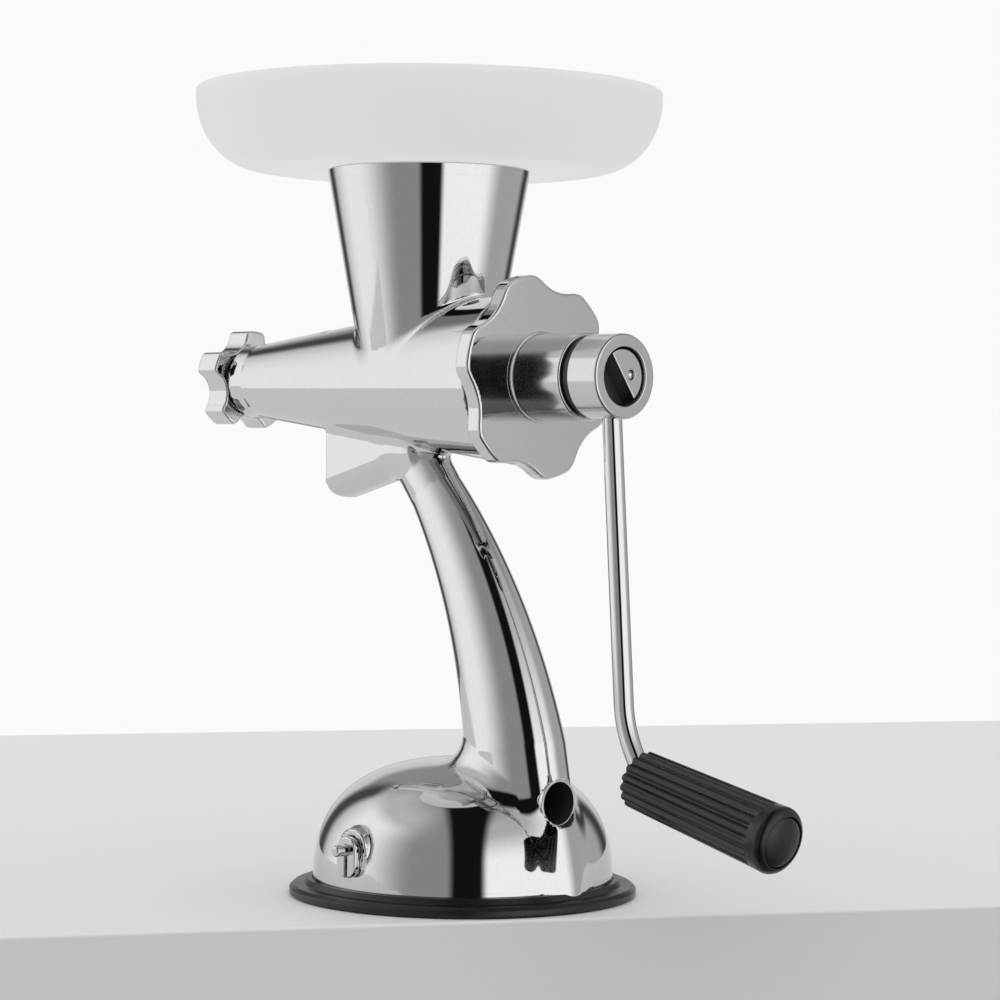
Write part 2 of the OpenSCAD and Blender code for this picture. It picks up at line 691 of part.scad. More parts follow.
module grip() color("#161616") in_plane(grip_start, grip_dir) difference() {
    rotate_extrude() polygon(concat([[0, 0], [grip_in_r - grip_chamfer, 0], [grip_in_r, grip_chamfer]],
        [for (a = [0:15:90]) [grip_out_r - grip_round * (1 - cos(a)), grip_len - grip_round * (1 - sin(a))]],
        [[0, grip_len]]));
    cylinder(h = grip_mouth_depth, r1 = grip_in_r - grip_mouth_rim, r2 = grip_bore_r);
    cylinder(h = grip_len + 1, r = grip_bore_r);
    translate([0, 0, grip_len - grip_pocket]) cylinder(h = grip_pocket + 1, r = grip_cap_r - grip_shelf);
    translate([0, 0, grip_len - grip_cap_depth]) cylinder(h = grip_cap_depth + 1, r = grip_cap_r + fit);
    for (i = [0:flutes - 1]) rotate(i * 360 / flutes) translate([grip_in_r + flute_r * 0.45, 0, -1])
        rotate([0, atan((grip_out_r - grip_in_r) / grip_len), 0]) cylinder(h = grip_len - grip_band, r = flute_r);
}

module grip_cap() color("#1c1c1c") in_plane(along(grip_start, grip_dir, grip_len - grip_cap_depth), grip_dir)
    rotate_extrude() polygon(concat([[0, 0], [grip_cap_r, 0]],
        [for (a = [0:15:90]) [grip_cap_r * cos(a), grip_cap_edge + grip_crown * sin(a)]]));

module grip_retainer() color("#8f9294")
    in_plane(along(spindle_start, grip_dir, spindle_len), grip_dir) difference() {
        translate([0, 0, -retainer_t]) cylinder(h = retainer_t, r = grip_cap_r - grip_shelf - 2 * run);
        translate([0, 0, -2 * retainer_t]) cylinder(h = 4 * retainer_t, r = rod_r);
    }

// Pulp outlet

module pulp_knob() color("#d0d2d4") difference() {
    on_axis(knob_back_x - knob_t)
        lobed_plate(knob_t, knob_lobe_r, knob_hollow_r, knob_lobes, knob_lobe_turn, knob_scoop_r, knob_round);
    rod_x(nose_end_x - 1, barrel_nose_x + 1, nose_r + run, nose_r + run);
    rod_x(knob_back_x - knob_t - 1, nose_end_x, knob_hole_r, knob_hole_r);
}

module pulp_nozzle() color("#b9bcbe") difference() {
    union() {
        rod_x(nose_end_x - nozzle_flange, nose_end_x, nose_r - nozzle_flange, nose_r - nozzle_flange);
        rod_x(nose_end_x, nozzle_end_x, outlet_r - fit, outlet_r - fit);
    }
    rod_x(nose_end_x - 2 * nozzle_flange, nozzle_end_x + eps, knob_hole_r - nozzle_step, outlet_r - nozzle_wall);
}

// Tray

tray_base = throat_top;
tray_top = tray_base + tray_h;

// Outside of the dish from the floor's edge up to the rim, or its inside when inset by the wall
function dish(inset) = [for (i = [0:14]) let (a = 90 * i / 14)
    [tray_floor_r + (tray_r - tray_floor_r - inset) * sin(a), tray_base + tray_rise * (1 - cos(a)) + inset * cos(a)]];
function reversed(list) = [for (i = [len(list) - 1:-1:0]) list[i]];

// Collar that drops into the throat with the throat's own taper
function collar_at(z) = throat_at(z) - throat_wall - run;

module hopper_tray() color("#f4f5f5") translate([throat_x, 0, 0]) rotate_extrude()
    polygon(concat([[collar_at(tray_base), tray_base]], dish(0),
        [[tray_r, tray_top - edge], [tray_r - edge, tray_top], [tray_r - tray_wall + edge / 2, tray_top],
            [tray_r - tray_wall, tray_top - edge / 2]],
        reversed(dish(tray_wall)), [[collar_at(tray_base) - tray_wall + edge, tray_base + tray_wall],
            [collar_at(tray_base) - tray_wall, tray_base + tray_wall - edge],
            [collar_at(tray_base - tray_collar) - tray_wall, tray_base - tray_collar],
            [collar_at(tray_base - tray_collar), tray_base - tray_collar]]));

suction_pad();
base_dome();
neck_root();
neck();
barrel();
throat();
juice_spout();
strainer();
cam_bushes();
cam_shaft();
shaft_end_pin();
shaft_link();
suction_cam();
cam_key();
suction_lever();
lever_tip();
pad_yoke();
front_cap();
shaft_bush();
cap_gasket();
thrust_washer();
auger();
auger_shaft();
crank_hub();
crank_arm();
grip();
grip_cap();
grip_retainer();
pulp_knob();
pulp_nozzle();
hopper_tray();
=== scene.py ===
# %% [markdown]
# # A hand-cranked juicer, dressed in Blender
# The solids of this juicer come from a CAD model: they give every size, joint and place. This lesson
# dresses them. Each cell makes one piece or one finish, and every piece rides on the CAD body that
# carries it, so the crank still turns and the tray still lifts off.

# %% Load the frame
import json
import math

import bpy
import numpy as np
from mathutils import Matrix, Vector


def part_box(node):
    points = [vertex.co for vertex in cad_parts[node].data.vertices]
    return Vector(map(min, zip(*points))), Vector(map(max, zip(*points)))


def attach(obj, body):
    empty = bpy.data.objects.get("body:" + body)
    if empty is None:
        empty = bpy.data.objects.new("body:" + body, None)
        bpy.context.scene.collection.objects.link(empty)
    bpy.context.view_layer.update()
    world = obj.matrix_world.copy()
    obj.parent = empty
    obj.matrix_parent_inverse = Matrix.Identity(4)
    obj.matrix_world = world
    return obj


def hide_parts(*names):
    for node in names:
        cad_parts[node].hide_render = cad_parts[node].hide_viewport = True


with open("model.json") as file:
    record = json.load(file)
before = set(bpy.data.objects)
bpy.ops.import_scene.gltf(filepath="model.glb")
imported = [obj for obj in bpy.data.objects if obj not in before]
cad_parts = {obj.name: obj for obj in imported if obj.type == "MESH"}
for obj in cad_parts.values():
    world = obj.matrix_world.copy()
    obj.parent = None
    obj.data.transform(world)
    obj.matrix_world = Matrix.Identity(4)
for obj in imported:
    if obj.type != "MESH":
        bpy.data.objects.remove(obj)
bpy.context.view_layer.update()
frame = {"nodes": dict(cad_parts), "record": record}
scene = bpy.context.scene
MM = 0.001


def box_mm(node):
    """Lowest and highest corner of a CAD node, in millimetres."""
    low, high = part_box(node)
    return np.array(low) / MM, np.array(high) / MM


# %% [markdown]
# ## The camera
# The photograph was taken with a long lens, a little above the table's level. A long lens keeps the
# barrel's taper honest, because nearer and farther ends are drawn at almost the same scale. The camera
# is placed by an azimuth, a distance and a height, then turned by three small angles.

# %% Camera
CAMERA_AZIMUTH = math.radians(46)
CAMERA_DISTANCE = 1.25825
CAMERA_HEIGHT = 0.18631
CAMERA_YAW = math.radians(-0.640)
CAMERA_TILT = math.radians(-1.030)
CAMERA_ROLL = math.radians(0.537)
FOCAL_SHARE = 3.02935
SENSOR = 36.0
CAMERA_REACH = 20

back = Vector((math.sin(CAMERA_AZIMUTH), -math.cos(CAMERA_AZIMUTH), 0))
up = Vector((0, 0, 1))
ahead = Matrix.Rotation(CAMERA_YAW, 3, "Z") @ -back
right = Vector((ahead.y, -ahead.x, 0))
aim = ahead * math.cos(CAMERA_TILT) + up * math.sin(CAMERA_TILT)
lift = up * math.cos(CAMERA_TILT) - ahead * math.sin(CAMERA_TILT)
side = right * math.cos(CAMERA_ROLL) + lift * math.sin(CAMERA_ROLL)
top = lift * math.cos(CAMERA_ROLL) - right * math.sin(CAMERA_ROLL)
eye = back * CAMERA_DISTANCE + up * CAMERA_HEIGHT

camera = bpy.data.objects.new("camera", bpy.data.cameras.new("camera"))
camera.data.sensor_width = SENSOR
camera.data.lens = SENSOR * FOCAL_SHARE
camera.data.clip_end = CAMERA_REACH
camera.matrix_world = Matrix.Translation(eye) @ Matrix((side, top, -aim)).transposed().to_4x4()
scene.collection.objects.link(camera)
scene.camera = camera
print("lens", round(camera.data.lens, 1), "mm")

# %% [markdown]
# ## Three ways to make a mesh
# Polished metal shows every flaw in a mesh's normals, so each helper below works out the exact normal
# at every vertex and stores it with the mesh.
# - **Turned** pieces, such as the tray or a washer, are a profile spun round an axis. Corners of the
#   profile become small arcs, because no real edge is perfectly sharp.
# - **Swept** pieces, such as the crank's rod, are rings of points joined along a path.
# - **Cast** pieces, such as the body, are described by a distance field: a function that says how far a
#   point is from the surface. Fields can be joined with a rounded fillet, which is what a casting has
#   where two forms meet. A grid of cells finds the surface, and each vertex is then slid onto it.

# %% Add a piece to the scene
# How deep in a hollow a face gets the painted shade
PAINTED_SHADE_DEPTH = 0.5


def add_piece(name, points, faces, normals, body, slot, replaces=(), hollow=None, look=None):
    """A mesh in metres, from points in millimetres, that rides on a CAD body and stands for CAD nodes.
    Faces that lie in a hollow field get dull metal whose near-black colour is painted shade, and a look
    replaces the slot's own."""
    points = np.asarray(points, float)
    mesh = bpy.data.meshes.new(name)
    mesh.from_pydata((points * MM).tolist(), [], faces)
    mesh.shade_smooth()
    mesh.normals_split_custom_set_from_vertices(np.asarray(normals, float).tolist())
    piece = bpy.data.objects.new(name, mesh)
    scene.collection.objects.link(piece)
    mesh.materials.append(look or FINISH[slot])
    # Faces deep in a hollow get rough metal painted near-black: painted shade
    if hollow is not None:
        mesh.materials.append(SHADED_HOLLOW_METAL)
        middles = np.array([points[list(face)].mean(axis=0) for face in faces])
        mesh.polygons.foreach_set("material_index", (hollow(*middles.T) < PAINTED_SHADE_DEPTH).astype(int))
    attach(piece, body)
    if replaces:
        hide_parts(*replaces)
    print(name, len(mesh.vertices), "vertices")
    return piece


# %% Faces between rings of points
def ring_faces(count, sides, closed):
    """Quads between rings of points, and from the last ring back to the first where they close."""
    faces = []
    for i in range(count if closed else count - 1):
        here, there = i * sides, (i + 1) % count * sides
        for j in range(sides):
            k = (j + 1) % sides
            faces.append((here + j, here + k, there + k, there + j))
    return faces


print("two rings of six points make", len(ring_faces(2, 6, False)), "faces")

# %% Profiles with rounded corners
ARC_STEPS = 7
ARC_ROOM = 0.45


def rounded(corners):
    """A closed profile of (radius, height, rounding) corners as points with outward normals.
    A rounding of None takes as large an arc as its neighbours leave room for."""
    points, normals = [], []
    count = len(corners)
    for i, (r, h, rounding) in enumerate(corners):
        here = np.array([r, h], float)
        before = np.array(corners[i - 1][:2], float) - here
        after = np.array(corners[(i + 1) % count][:2], float) - here
        shorter = min(np.linalg.norm(before), np.linalg.norm(after))
        before /= np.linalg.norm(before)
        after /= np.linalg.norm(after)
        half = math.acos(max(-1.0, min(1.0, float(before @ after)))) / 2
        if rounding is None:
            rounding = ARC_ROOM * shorter * math.tan(half)
        reach = rounding / math.tan(half)
        middle = (before + after) / np.linalg.norm(before + after)
        centre = here + middle * rounding / math.sin(half)
        turns_left = before[1] * after[0] - before[0] * after[1] > 0
        start, end = here + before * reach - centre, here + after * reach - centre
        sweep = math.pi - 2 * half
        for t in np.linspace(0, 1, ARC_STEPS):
            spoke = start * math.sin((1 - t) * sweep) + end * math.sin(t * sweep)
            spoke *= rounding / np.linalg.norm(spoke)
            points.append(centre + spoke)
            normals.append(spoke / rounding if turns_left else -spoke / rounding)
    return np.array(points), np.array(normals)


print("each corner of a profile takes", ARC_STEPS, "points")

# %% Turned pieces
TURN_SIDES, FINE_SIDES = 144, 192
ALONG_X, UP_Z = (1, 0, 0), (0, 0, 1)


def turned(profile, origin, axis, sides=TURN_SIDES):
    """Points, faces and normals of a profile spun round an axis through a point."""
    flat, slant = profile
    axis = Vector(axis).normalized()
    across = axis.orthogonal().normalized()
    other = axis.cross(across)
    spin = np.arange(sides) * 2 * math.pi / sides
    spokes = np.outer(np.cos(spin), across) + np.outer(np.sin(spin), other)
    points = np.array(origin) + flat[:, None, 1:] * np.array(axis) + flat[:, None, :1] * spokes[None]
    normals = slant[:, None, 1:] * np.array(axis) + slant[:, None, :1] * spokes[None]
    return points.reshape(-1, 3), ring_faces(len(flat), sides, True), normals.reshape(-1, 3)


print("turned pieces have", TURN_SIDES, "sides, and the large ones", FINE_SIDES)


# %% Swept pieces
def swept(rings, caps=True):
    """Points, faces and normals of a surface through rings of points, with normals from its own slopes."""
    rings = np.asarray(rings, float)
    count, sides = rings.shape[:2]
    along = np.gradient(rings, axis=0)
    around = np.roll(rings, -1, 1) - np.roll(rings, 1, 1)
    normals = np.cross(around, along)
    normals /= np.linalg.norm(normals, axis=2, keepdims=True) + 1e-12
    faces = ring_faces(count, sides, False)
    if caps:
        faces.append(tuple(range(sides - 1, -1, -1)))
        faces.append(tuple((count - 1) * sides + j for j in range(sides)))
    return rings.reshape(-1, 3), faces, normals.reshape(-1, 3)


square = np.array([(0, 0, 0), (0, 1, 0), (1, 1, 0), (1, 0, 0)])
print("a square swept upward has", len(swept([square, square + UP_Z])[1]), "faces")


# %% Fields that meet
def join(a, b, fillet):
    """Union of two fields with a round fillet where they meet."""
    inner = np.hypot(np.maximum(fillet - a, 0), np.maximum(fillet - b, 0))
    return np.maximum(fillet, np.minimum(a, b)) - inner


def keep(a, b, rounding):
    """Part of one field inside another, with a rounded edge."""
    return -join(-a, -b, rounding)


def cut(a, tool, rounding):
    """One field with another taken out of it, with a rounded edge."""
    return keep(a, -tool, rounding)


print("1 mm off two walls with a 2 mm fillet, the metal is", round(float(join(1, 1, 2)), 2), "mm away")

# %% [markdown]
# ### From a field to a mesh
# A grid is laid over the field. Every cell that the surface runs through gets one vertex, at the mean of
# the places where the surface crosses its edges, and every crossed grid edge gets one face from the four
# cells round it. The vertices are then evened out and slid along the field's slope onto the surface.

# %% Slope of a field
SLOPE_STEP = 0.02


def slopes(field, points):
    """Distance from a field's surface and its unit slope, at points."""
    gradient = np.empty_like(points)
    for axis in range(3):
        ahead_by = points.copy()
        ahead_by[:, axis] += SLOPE_STEP
        behind_by = points.copy()
        behind_by[:, axis] -= SLOPE_STEP
        gradient[:, axis] = field(*ahead_by.T) - field(*behind_by.T)
    length = np.linalg.norm(gradient, axis=1, keepdims=True) + 1e-12
    return field(*points.T) * 2 * SLOPE_STEP / length[:, 0], gradient / length


print("slopes are measured over", 2 * SLOPE_STEP, "mm")

# %% Cells that the surface runs through
CORNERS = np.array([(i, j, k) for i in (0, 1) for j in (0, 1) for k in (0, 1)])
CELL_EDGES = [(a, b) for a in range(8) for b in range(a + 1, 8) if np.abs(CORNERS[a] - CORNERS[b]).sum() == 1]
EMPTY = 9


def sample(field, boxes, step):
    """Lowest corner of one grid over all the boxes, and the field's values on it, empty outside the boxes."""
    low = np.min([b[0] for b in boxes], axis=0)
    counts = np.ceil((np.max([b[1] for b in boxes], axis=0) - low) / step).astype(int) + 1
    lines = [low[i] + step * np.arange(counts[i]) for i in range(3)]
    values = np.full(counts, float(EMPTY * step))
    for start, end in boxes:
        cells = [slice(*np.searchsorted(lines[i], [start[i], end[i]])) for i in range(3)]
        x, y, z = (lines[i][cells[i]] for i in range(3))
        values[tuple(cells)] = field(x[:, None, None], y[None, :, None], z[None, None, :])
    return low, values


def crossed_cells(values):
    """Cells that hold both signs, and the mean place of the crossings on each cell's edges, in grid steps."""
    inside = values < 0
    shape = tuple(n - 1 for n in values.shape)
    filled = np.zeros(shape, np.int8)
    for i, j, k in CORNERS:
        filled += inside[i:i + shape[0], j:j + shape[1], k:k + shape[2]]
    cells = np.argwhere((filled > 0) & (filled < len(CORNERS)))
    corner_values = np.stack([values[tuple((cells + corner).T)] for corner in CORNERS], 1)
    total, hits = np.zeros((len(cells), 3)), np.zeros(len(cells))
    for a, b in CELL_EDGES:
        va, vb = corner_values[:, a], corner_values[:, b]
        crossed = (va < 0) != (vb < 0)
        share = np.where(crossed, va / np.where(crossed, va - vb, 1), 0)
        total += crossed[:, None] * (CORNERS[a] + share[:, None] * (CORNERS[b] - CORNERS[a]))
        hits += crossed
    return cells, cells + total / hits[:, None]


print("a cell has", len(CORNERS), "corners and", len(CELL_EDGES), "edges")


# %% Faces of the surface
def crossed_edges(inside, cells):
    """One quad of cell numbers round each grid edge that the surface crosses, facing outward."""
    index = np.full(tuple(n - 1 for n in inside.shape), -1)
    index[tuple(cells.T)] = np.arange(len(cells))
    faces = []
    for axis in range(3):
        first, second = (axis + 1) % 3, (axis + 2) % 3
        lower = [slice(1, n - 1) for n in inside.shape]
        upper = list(lower)
        lower[axis], upper[axis] = slice(0, inside.shape[axis] - 1), slice(1, inside.shape[axis])
        spots = np.argwhere(inside[tuple(lower)] != inside[tuple(upper)])
        spots[:, first] += 1
        spots[:, second] += 1
        around = []
        for df, ds in ((-1, -1), (0, -1), (0, 0), (-1, 0)):
            near = spots.copy()
            near[:, first] += df
            near[:, second] += ds
            around.append(index[tuple(near.T)])
        quads = np.stack(around, 1)
        starts_inside = inside[tuple(spots.T)]
        quads[~starts_inside] = quads[~starts_inside][:, ::-1]
        faces.append(quads)
    return np.concatenate(faces)


lone = np.zeros((3, 3, 3), bool)
lone[1, 1, 1] = True
print("one grid point inside gives", len(crossed_edges(lone, np.argwhere(np.ones((2, 2, 2))))), "faces")

# %% Cast a field
EVENINGS, SLIDES = 3, 2
CAST_ROOM = 1


def cast(field, boxes, step):
    """Points, faces and normals of the surface where a field is zero, searched inside boxes on one grid."""
    low, values = sample(field, boxes, step)
    cells, places = crossed_cells(values)
    faces = crossed_edges(values < 0, cells)
    points = low + step * places
    for _ in range(EVENINGS):
        total, hits = np.zeros_like(points), np.zeros(len(points))
        for shift in (1, 3):
            np.add.at(total, faces, points[np.roll(faces, shift, 1)])
            np.add.at(hits, faces, 1)
        value, slope = slopes(field, points)
        drift = total / hits[:, None] - points
        drift -= slope * np.sum(drift * slope, 1, keepdims=True)
        points = points + drift / 2 - slope * np.clip(value, -step / 2, step / 2)[:, None]
    for _ in range(SLIDES):
        value, slope = slopes(field, points)
        points = points - slope * np.clip(value, -step, step)[:, None]
    return points, faces.tolist(), slopes(field, points)[1]


print("cast pieces are evened out", EVENINGS, "times, with", CAST_ROOM, "mm of room round them")

# %% [markdown]
# ## Finishes
# Two effects are shared by all the finishes, so each is a node group that is built once. *Handling* is
# the soft, cloudy change in gloss that wiping and fingers leave. *Fine grain* is the tiny relief of a
# mould or of a polishing wheel. The shader itself stays in each material, with its own plain values.

# %% Node helpers
def new_group(name, inputs, outputs):
    """An empty shader node group with float inputs and outputs."""
    group = bpy.data.node_groups.new(name, "ShaderNodeTree")
    for label, value in inputs.items():
        socket = group.interface.new_socket(name=label, in_out="INPUT", socket_type="NodeSocketFloat")
        socket.default_value = value
    for label in outputs:
        group.interface.new_socket(name=label, in_out="OUTPUT", socket_type="NodeSocketFloat")
    return group, group.nodes.new("NodeGroupInput"), group.nodes.new("NodeGroupOutput")


def object_place(tree):
    """Texture coordinates that stay with the piece."""
    return tree.nodes.new("ShaderNodeTexCoord").outputs["Object"]


print("node groups so far:", len(bpy.data.node_groups))

# %% Handling group
CLOUD_DETAIL, CLOUD_ROUGH = 6, 0.62
CLOUD_LOW, CLOUD_HIGH = 0.35, 0.7
handling, handling_in, handling_out = new_group(
    "Handling", {"Scale": 30.0, "Low": 0.1, "High": 0.2}, ["Roughness"])
clouds = handling.nodes.new("ShaderNodeTexNoise")
clouds.inputs["Detail"].default_value = CLOUD_DETAIL
clouds.inputs["Roughness"].default_value = CLOUD_ROUGH
spread = handling.nodes.new("ShaderNodeMapRange")
spread.inputs["From Min"].default_value = CLOUD_LOW
spread.inputs["From Max"].default_value = CLOUD_HIGH
handling.links.new(object_place(handling), clouds.inputs["Vector"])
handling.links.new(handling_in.outputs["Scale"], clouds.inputs["Scale"])
handling.links.new(clouds.outputs["Fac"], spread.inputs["Value"])
handling.links.new(handling_in.outputs["Low"], spread.inputs["To Min"])
handling.links.new(handling_in.outputs["High"], spread.inputs["To Max"])
handling.links.new(spread.outputs["Result"], handling_out.inputs["Roughness"])
print("node group:", handling.name)

# %% Fine grain group
GRAIN_DETAIL = 3
grain, grain_in, grain_out = new_group("Fine grain", {"Scale": 2000.0, "Stretch": 1.0}, ["Height", "Speck"])
stretch = grain.nodes.new("ShaderNodeCombineXYZ")
stretch.inputs["X"].default_value = 1
stretch.inputs["Y"].default_value = 1
place = grain.nodes.new("ShaderNodeVectorMath")
place.operation = "MULTIPLY"
grains = grain.nodes.new("ShaderNodeTexNoise")
grains.inputs["Detail"].default_value = GRAIN_DETAIL
specks = grain.nodes.new("ShaderNodeTexVoronoi")
grain.links.new(grain_in.outputs["Stretch"], stretch.inputs["Z"])
grain.links.new(object_place(grain), place.inputs[0])
grain.links.new(stretch.outputs["Vector"], place.inputs[1])
for texture in (grains, specks):
    grain.links.new(place.outputs["Vector"], texture.inputs["Vector"])
    grain.links.new(grain_in.outputs["Scale"], texture.inputs["Scale"])
grain.links.new(grains.outputs["Fac"], grain_out.inputs["Height"])
grain.links.new(specks.outputs["Distance"], grain_out.inputs["Speck"])
print("node group:", grain.name)


# %% Material helper
def add_group(tree, group, **values):
    """A node that places a group, with its own values."""
    node = tree.nodes.new("ShaderNodeGroup")
    node.node_tree = group
    for label, value in values.items():
        node.inputs[label].default_value = value
    return node


def finish(name, dark, light, metallic, rough, clouds, grains, stretch, relief, relief_mm):
    """A material whose gloss and colour drift a little and whose relief comes from the fine grain."""
    material = bpy.data.materials.new(name)
    material.use_nodes = True
    tree = material.node_tree
    shader = tree.nodes["Principled BSDF"]
    shader.inputs["Metallic"].default_value = metallic
    gloss = add_group(tree, handling, Scale=clouds, Low=rough[0], High=rough[1])
    fine = add_group(tree, grain, Scale=grains, Stretch=stretch)
    tint = tree.nodes.new("ShaderNodeMix")
    tint.data_type = "RGBA"
    tint.inputs["A"].default_value = (*dark, 1)
    tint.inputs["B"].default_value = (*light, 1)
    bump = tree.nodes.new("ShaderNodeBump")
    bump.inputs["Strength"].default_value = relief
    bump.inputs["Distance"].default_value = relief_mm * MM
    tree.links.new(fine.outputs["Speck"], tint.inputs["Factor"])
    tree.links.new(tint.outputs["Result"], shader.inputs["Base Color"])
    tree.links.new(gloss.outputs["Roughness"], shader.inputs["Roughness"])
    tree.links.new(fine.outputs["Height"], bump.inputs["Height"])
    tree.links.new(bump.outputs["Normal"], shader.inputs["Normal"])
    return material


print("materials so far:", len(bpy.data.materials))

# %% The six finishes
FINISH = {
    "polished_steel": finish(
        "polished steel", (0.615, 0.618, 0.622), (0.645, 0.648, 0.652), metallic=1, rough=(0.03, 0.06),
        clouds=22, grains=900, stretch=0.4, relief=0.01, relief_mm=0.002),
    "plain_steel": finish(
        "satin steel", (0.58, 0.585, 0.59), (0.66, 0.665, 0.67), metallic=1, rough=(0.22, 0.34),
        clouds=60, grains=700, stretch=0.06, relief=0.25, relief_mm=0.02),
    "black_rubber": finish(
        "black rubber", (0.003, 0.003, 0.0031), (0.006, 0.006, 0.0062), metallic=0, rough=(0.3, 0.42),
        clouds=90, grains=1500, stretch=1, relief=0.1, relief_mm=0.03),
    "black_plastic": finish(
        "black moulded plastic", (0.003, 0.003, 0.0031), (0.005, 0.005, 0.0052), metallic=0,
        rough=(0.22, 0.3), clouds=70, grains=2200, stretch=1, relief=0.1, relief_mm=0.03),
    "bush_plastic": finish(
        "bearing plastic", (0.66, 0.60, 0.47), (0.74, 0.68, 0.54), metallic=0, rough=(0.42, 0.55),
        clouds=70, grains=1800, stretch=1, relief=0.15, relief_mm=0.04),
    "tray_plastic": finish(
        "frosted white plastic", (0.93, 0.933, 0.936), (0.95, 0.952, 0.954), metallic=0, rough=(0.42, 0.55),
        clouds=40, grains=1600, stretch=1, relief=0.1, relief_mm=0.03),
}
print("finishes:", ", ".join(FINISH))

# %% [markdown]
# ## Light through the tray
# The tray is thin and frosted, so light that falls on one side glows on the other. A volume or real glass
# would be slow and noisy. A translucent shader, mixed into the plastic, gives the same soft glow.

# %% Light through the tray
TRAY_GLOW = 0.8
GLOW_COLOUR = (0.99, 0.99, 0.99, 1)
frosted = FINISH["tray_plastic"].node_tree
glow = frosted.nodes.new("ShaderNodeBsdfTranslucent")
glow.inputs["Color"].default_value = GLOW_COLOUR
blend = frosted.nodes.new("ShaderNodeMixShader")
blend.inputs["Fac"].default_value = TRAY_GLOW
frosted.links.new(frosted.nodes["Principled BSDF"].outputs["BSDF"], blend.inputs[1])
frosted.links.new(glow.outputs["BSDF"], blend.inputs[2])
frosted.links.new(blend.outputs["Shader"], frosted.nodes["Material Output"].inputs["Surface"])
print("share of the translucent shader in the tray:", TRAY_GLOW)

# %% [markdown]
# ## Painted shade in the hollows, and turned metal
# No polishing wheel reaches the hollows of the casting, so they stay dull and rough. Their near-black colour
# is painted shade where little light gets in, and the same dark metal lines the socket and the hub's recess.
# The boss, the hub and the shaft's end come off a lathe and shine more softly than the polished casting.

# %% Painted shade in the hollows, and turned metal
# Rough metal whose near-black colour is painted shade in the hollows
SHADED_HOLLOW_METAL = finish(
    "dull metal with painted shade", (0.045, 0.045, 0.046), (0.07, 0.07, 0.072), metallic=0.5, rough=(0.55, 0.7),
    clouds=60, grains=900, stretch=1, relief=0.2, relief_mm=0.05)
TURNED_STEEL = finish(
    "turned steel", (0.58, 0.583, 0.587), (0.62, 0.623, 0.627), metallic=1, rough=(0.13, 0.2),
    clouds=60, grains=1400, stretch=0.3, relief=0.03, relief_mm=0.004)
print("also:", SHADED_HOLLOW_METAL.name, "and", TURNED_STEEL.name)

# %% [markdown]
# ## The body casting
# The suction dome, the neck, the barrel, the feed throat and the juice spout are cast and welded
# together and then polished, so on the real object no seam shows. Separate meshes would show a hard
# line at every joint. Here each form is a distance field, the fields are joined with the fillets that
# the photograph shows, and the hollows are cut out again.

# %% Sizes of the foot and the neck, in millimetres
dome_low, dome_high = box_mm("base_dome")
DOME_R = -dome_low[0]
DOME_LOW, DOME_TOP = dome_low[2], dome_high[2]
DOME_WALL, DOME_SQUARE = 3, 2.45
NECK_FOOT = np.array([29.8, 62.5])
NECK_BEND = 249
LEAN_LOW, LEAN_HIGH = math.radians(11.3), math.radians(37.8)
NECK_FOOT_R, NECK_TOP_R = 20.8, 11.2
NECK_OVAL = 0.13
SOCKET_X, SOCKET_Z = 55.5, 42.3
SOCKET_R, SOCKET_WALL, SOCKET_DEPTH = 8.6, 3, 32
LIP_WALL = 1.2
CAM_Z = 23.5
CAM_BOSS_R, CAM_SHAFT_R = 8.5, 5
print("dome", round(2 * DOME_R, 1), "mm across and", round(DOME_TOP - DOME_LOW, 1), "mm tall")

# %% Sizes of the barrel, the throat and the spout
washer_low, washer_high = box_mm("thrust_washer")
barrel_low, barrel_high = box_mm("barrel")
throat_low, throat_high = box_mm("throat")
AXIS_Z = (washer_low[2] + washer_high[2]) / 2
FACE_X, NOSE_END_X = barrel_high[0], barrel_low[0]
BARREL_LONG = 170
NOSE_X = FACE_X - BARREL_LONG
BIG_R, SLIM_R = 36, 15.5
NOSE_COLLAR_R, NOSE_COLLAR_LONG = 16.6, 9
CHAMBER_BIG_R, CHAMBER_SMALL_R = 31.7, 12.7
CHAMBER_STOP = 16
CHAMBER_END_X = NOSE_X + CHAMBER_STOP
NOSE_R, OUTLET_R = 12.4, 9
PLUG_R, PLUG_X = 31.8, 23
THROAT_X = (throat_low[0] + throat_high[0]) / 2
THROAT_TOP = throat_high[2]
THROAT_R, THROAT_LOW_R, THROAT_WALL = 42.6, 27, 2.4
THROAT_RISE = (THROAT_R - THROAT_LOW_R) / (THROAT_TOP - AXIS_Z)
SPOUT_R, SPOUT_WALL = 10.3, 2
SPOUT_X, SPOUT_LOW = -77, 161.5
SPOUT_SLOPE = math.radians(15.4)
SLOT_X = (-72, -59.2)
print("axis height", round(AXIS_Z, 1), "throat at", round(THROAT_X, 1))

# %% Fields of the foot and the neck
NECK_CENTRE = NECK_FOOT - NECK_BEND * np.array([math.cos(LEAN_LOW), math.sin(LEAN_LOW)])
NECK_CORE, LEAST_SLOPE = 1, 0.5


def dome_field(x, y, z, r, top_z):
    """Squared-off dome of revolution; the level of its norm over that norm's slope is the distance."""
    n = DOME_SQUARE
    rho = np.hypot(x, y)
    height = top_z - DOME_LOW
    a = np.maximum(rho, 1e-6) / r
    b = np.maximum(np.abs(z - DOME_LOW), 1e-6) / height
    level = (a ** n + b ** n) ** (1 / n)
    slope = np.hypot(a ** (n - 1) / r, b ** (n - 1) / height) * level ** (1 - n)
    return (level - 1) / slope


